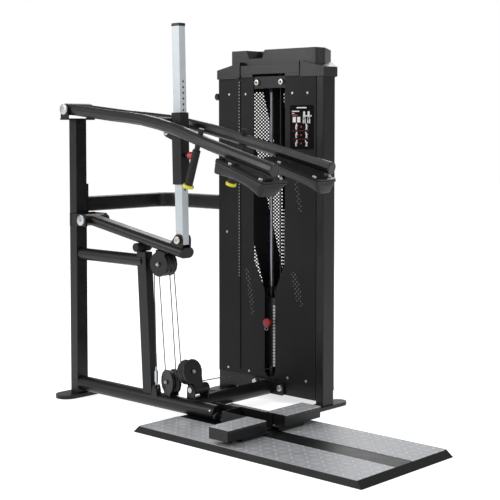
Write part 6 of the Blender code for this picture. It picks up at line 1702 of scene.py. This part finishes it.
@dataclass
class PlacardPrint:
    """Plain exercise pictograms on the placard, in white and red."""

    x: float = 0.983
    z: float = 1.3515
    front: float = 0.5682
    thickness: float = 0.00025
    bar_edge: float = 0.18
    dot_edge: float = 0.3
    # Share of the lean, up, and radius.
    head: Spot = (0.30, 0.40, 0.12)
    # Across, up, width, height, share of the lean, and turn.
    limbs: tuple[tuple[float, float, float, float, float, float], ...] = (
        (0.0, 0.10, 0.24, 0.40, 1.0, 0.0), (0.20, 0.12, 0.28, 0.10, 1.0, -20.0),
        (-0.08, -0.28, 0.12, 0.38, -0.5, 0.0), (0.10, -0.28, 0.12, 0.38, 1.0, 0.0))
    # Across, up, width and height.
    lines: tuple[tuple[float, float, float, float], ...] = (
        (0.0, 0.093, 0.062, 0.006), (-0.038, 0.076, 0.046, 0.005),
        (-0.053, 0.066, 0.016, 0.004), (-0.046, 0.036, 0.020, 0.026),
        (-0.018, 0.036, 0.020, 0.026))
    red_line: tuple[float, float, float, float] = (-0.044, 0.057, 0.034, 0.006)
    charts: tuple[float, float] = (0.016, 0.044)
    rows: int = 3
    row_top: float = 0.002
    row_pitch: float = 0.040

    def bar(self, x: float, z: float, width: float, height: float, turn: float = 0.0) -> Piece:
        """Make one printed bar.

        Args:
            x: place across the placard from its middle.
            z: place up from its middle.
            width: the bar's width.
            height: the bar's height.
            turn: turn in the placard's plane, in degrees.

        Returns:
            The bar in place.
        """
        half = self.thickness / 2
        bar = Bench.block("bar", (-width / 2, -half, -height / 2), (width / 2, half, height / 2))
        Bench.soften(bar, min(width, height) * self.bar_edge, 1)
        spot = Matrix.Translation((self.x + x, self.front - half, self.z + z))
        bar.data.transform(spot @ Matrix.Rotation(math.radians(turn), 4, "Y"))
        return bar

    def dot(self, x: float, z: float, radius: float) -> Piece:
        """Make one printed dot.

        Args:
            x: place across the placard from its middle.
            z: place up from its middle.
            radius: the dot's radius.

        Returns:
            The dot in place.
        """
        dot = Bench.cylinder("dot", radius, self.thickness, 16)
        Bench.soften(dot, self.thickness * self.dot_edge, 1)
        dot.data.transform(Bench.along((self.x + x, self.front - self.thickness / 2, self.z + z),
                                       (0, -1, 0)))
        return dot

    def figure(self, x: float, z: float, lean: float, size: float) -> list[Piece]:
        """Make a plain little figure: head, trunk, arm and two legs.

        Args:
            x: place across.
            z: place up.
            lean: lean of the trunk, in degrees.
            size: the figure's height.

        Returns:
            Its pieces.
        """
        across, up, radius = self.head
        pieces = [self.dot(x + size * across * math.sin(math.radians(lean)), z + size * up,
                           size * radius)]
        for across, up, width, height, share, turn in self.limbs:
            pieces.append(self.bar(x + size * across, z + size * up, size * width,
                                   size * height, share * lean + turn))
        return pieces

    def build(self) -> None:
        """Lay out the head lines, two muscle charts and three rows of figures."""
        white = [self.bar(*line) for line in self.lines]
        red = [self.bar(*self.red_line)]
        for x in self.charts:
            white += self.figure(x, 0.046, 0.0, 0.058)
            red.append(self.bar(x, 0.040, 0.009, 0.016))
        for row in range(self.rows):
            z = self.row_top - row * self.row_pitch
            white += self.figure(-0.034, z, 12.0 + 10 * row, 0.031)
            white += self.figure(0.030, z, -8.0 - 12 * row, 0.031)
            red += [self.bar(-0.004, z + 0.0205, 0.108, 0.0012), self.dot(-0.002, z, 0.0045)]
            red += [self.bar(x, z - 0.004, 0.005, 0.009) for x in (-0.028, 0.037)]
        for name, marks, look in (("placard_white_marks", white, Look.WHITE),
                                  ("placard_red_marks", red, Look.RED)):
            fit(Bench.join(name, marks), look, Body.FRAME)


@dataclass
class Studio:
    """Pale floor, soft lights and the camera of the photograph."""

    camera_at: Spot = (4.756, -3.862, 1.36)
    tilt: float = 86.95
    heading: float = 42.85
    lens: float = 87.34
    sensor: float = 36.0
    shift: float = -0.12
    sky: float = 0.42
    floor_glow: float = 0.66
    floor_grey: float = 0.90
    floor_rough: float = 0.9
    floor_shine: float = 0.1
    floor_side: float = 40.0
    floor_at: Spot = (1.0, 0.3, -0.001)
    # Name, place, target, side and watts.
    lamps: tuple[tuple[str, Spot, Spot, float, float], ...] = (
        ("key", (-2.4, -4.7, 3.3), (0.6, 0.2, 0.9), 2.6, 165.0),
        ("side", (5.4, -1.4, 2.8), (0.8, 0.2, 0.8), 2.4, 55.0),
        ("top", (0.9, 0.2, 5.2), (0.9, 0.2, 0.6), 2.6, 45.0),
        ("back", (-2.4, 4.2, 3.4), (0.6, 0.4, 1.0), 2.6, 60.0))

    def seen(self, tree: Tree, *rays: str) -> Socket:
        """Mark some kinds of rays.

        Args:
            tree: the tree that needs the mark.
            rays: names of the kinds.

        Returns:
            1 for these rays and 0 for the rest.
        """
        path = tree.add("ShaderNodeLightPath")
        return reduce(lambda first, second: tree.math("MAXIMUM", first, second),
                      [path.outputs[f"Is {ray} Ray"] for ray in rays])

    def floor(self) -> None:
        """Add the floor, which shows white to the camera away from the shadow."""
        Bench.clear()
        bpy.ops.mesh.primitive_plane_add(size=self.floor_side, location=self.floor_at)
        floor = Bench.settle(Bench.named("studio_floor"))
        material = bpy.data.materials.new("studio_floor")
        tree = Tree.fresh(material)
        shader = tree.add("ShaderNodeBsdfPrincipled", {
            "Base Color": (self.floor_grey,) * 3 + (1.0,), "Roughness": self.floor_rough,
            "Specular IOR Level": self.floor_shine})
        shown = self.seen(tree, "Camera", "Glossy", "Transmission")
        glow = tree.add("ShaderNodeEmission", {"Strength": tree.product(shown, self.floor_glow)})
        both = tree.add("ShaderNodeAddShader", {0: shader.outputs[0], 1: glow.outputs[0]})
        tree.add("ShaderNodeOutputMaterial", {"Surface": both.outputs[0]})
        floor.data.materials.append(material)

    def world(self) -> None:
        """Light the set evenly and show white behind it."""
        world = bpy.data.worlds.new("studio")
        bpy.context.scene.world = world
        tree = Tree.fresh(world)
        white = (1.0, 1.0, 1.0, 1.0)
        soft = tree.add("ShaderNodeBackground", {"Color": white, "Strength": self.sky})
        plain = tree.add("ShaderNodeBackground", {"Color": white})
        mixed = tree.add("ShaderNodeMixShader", {
            0: self.seen(tree, "Camera", "Transmission"), 1: soft.outputs[0],
            2: plain.outputs[0]})
        tree.add("ShaderNodeOutputWorld", {"Surface": mixed.outputs[0]})

    def lamp(self, name: str, place: Spot, target: Spot, size: float, power: float) -> None:
        """Add one square soft light.

        Args:
            name: the light's name.
            place: where it stands.
            target: what it looks at.
            size: its side.
            power: its watts.
        """
        data = bpy.data.lights.new(name, "AREA")
        data.shape = "SQUARE"
        data.size = size
        data.energy = power
        lamp = Bench.link(name, data)
        lamp.location = place
        lamp.rotation_euler = (Vector(target) - Vector(place)).to_track_quat("-Z", "Y").to_euler()

    def camera(self) -> None:
        """Set the camera of the photograph."""
        data = bpy.data.cameras.new("camera")
        data.lens = self.lens
        data.sensor_width = self.sensor
        data.shift_y = self.shift
        camera = Bench.link("camera", data)
        camera.location = self.camera_at
        camera.rotation_euler = (math.radians(self.tilt), 0.0, math.radians(self.heading))
        bpy.context.scene.camera = camera

    def build(self) -> None:
        """Set floor, lights, camera and view."""
        self.floor()
        self.world()
        for lamp in self.lamps:
            self.lamp(*lamp)
        self.camera()
        bpy.context.scene.view_settings.view_transform = "Standard"


def main() -> None:
    """Build the machine's dress in order."""
    logging.basicConfig(level=logging.INFO, format="%(message)s")
    Studio().build()
    Skins().build()
    Pulleys().build()
    Screws().build()
    for side in SIDES:
        HandGrip(side).build()
        ShoulderPad(side).build()
    for assembly in (Cables(), Selector(), StackTeeth(), PivotCaps(), ColumnCap(), CapRibs(),
                     ArmPlugs(), PlacardPrint()):
        assembly.build()


if __name__ == "__main__":
    main()
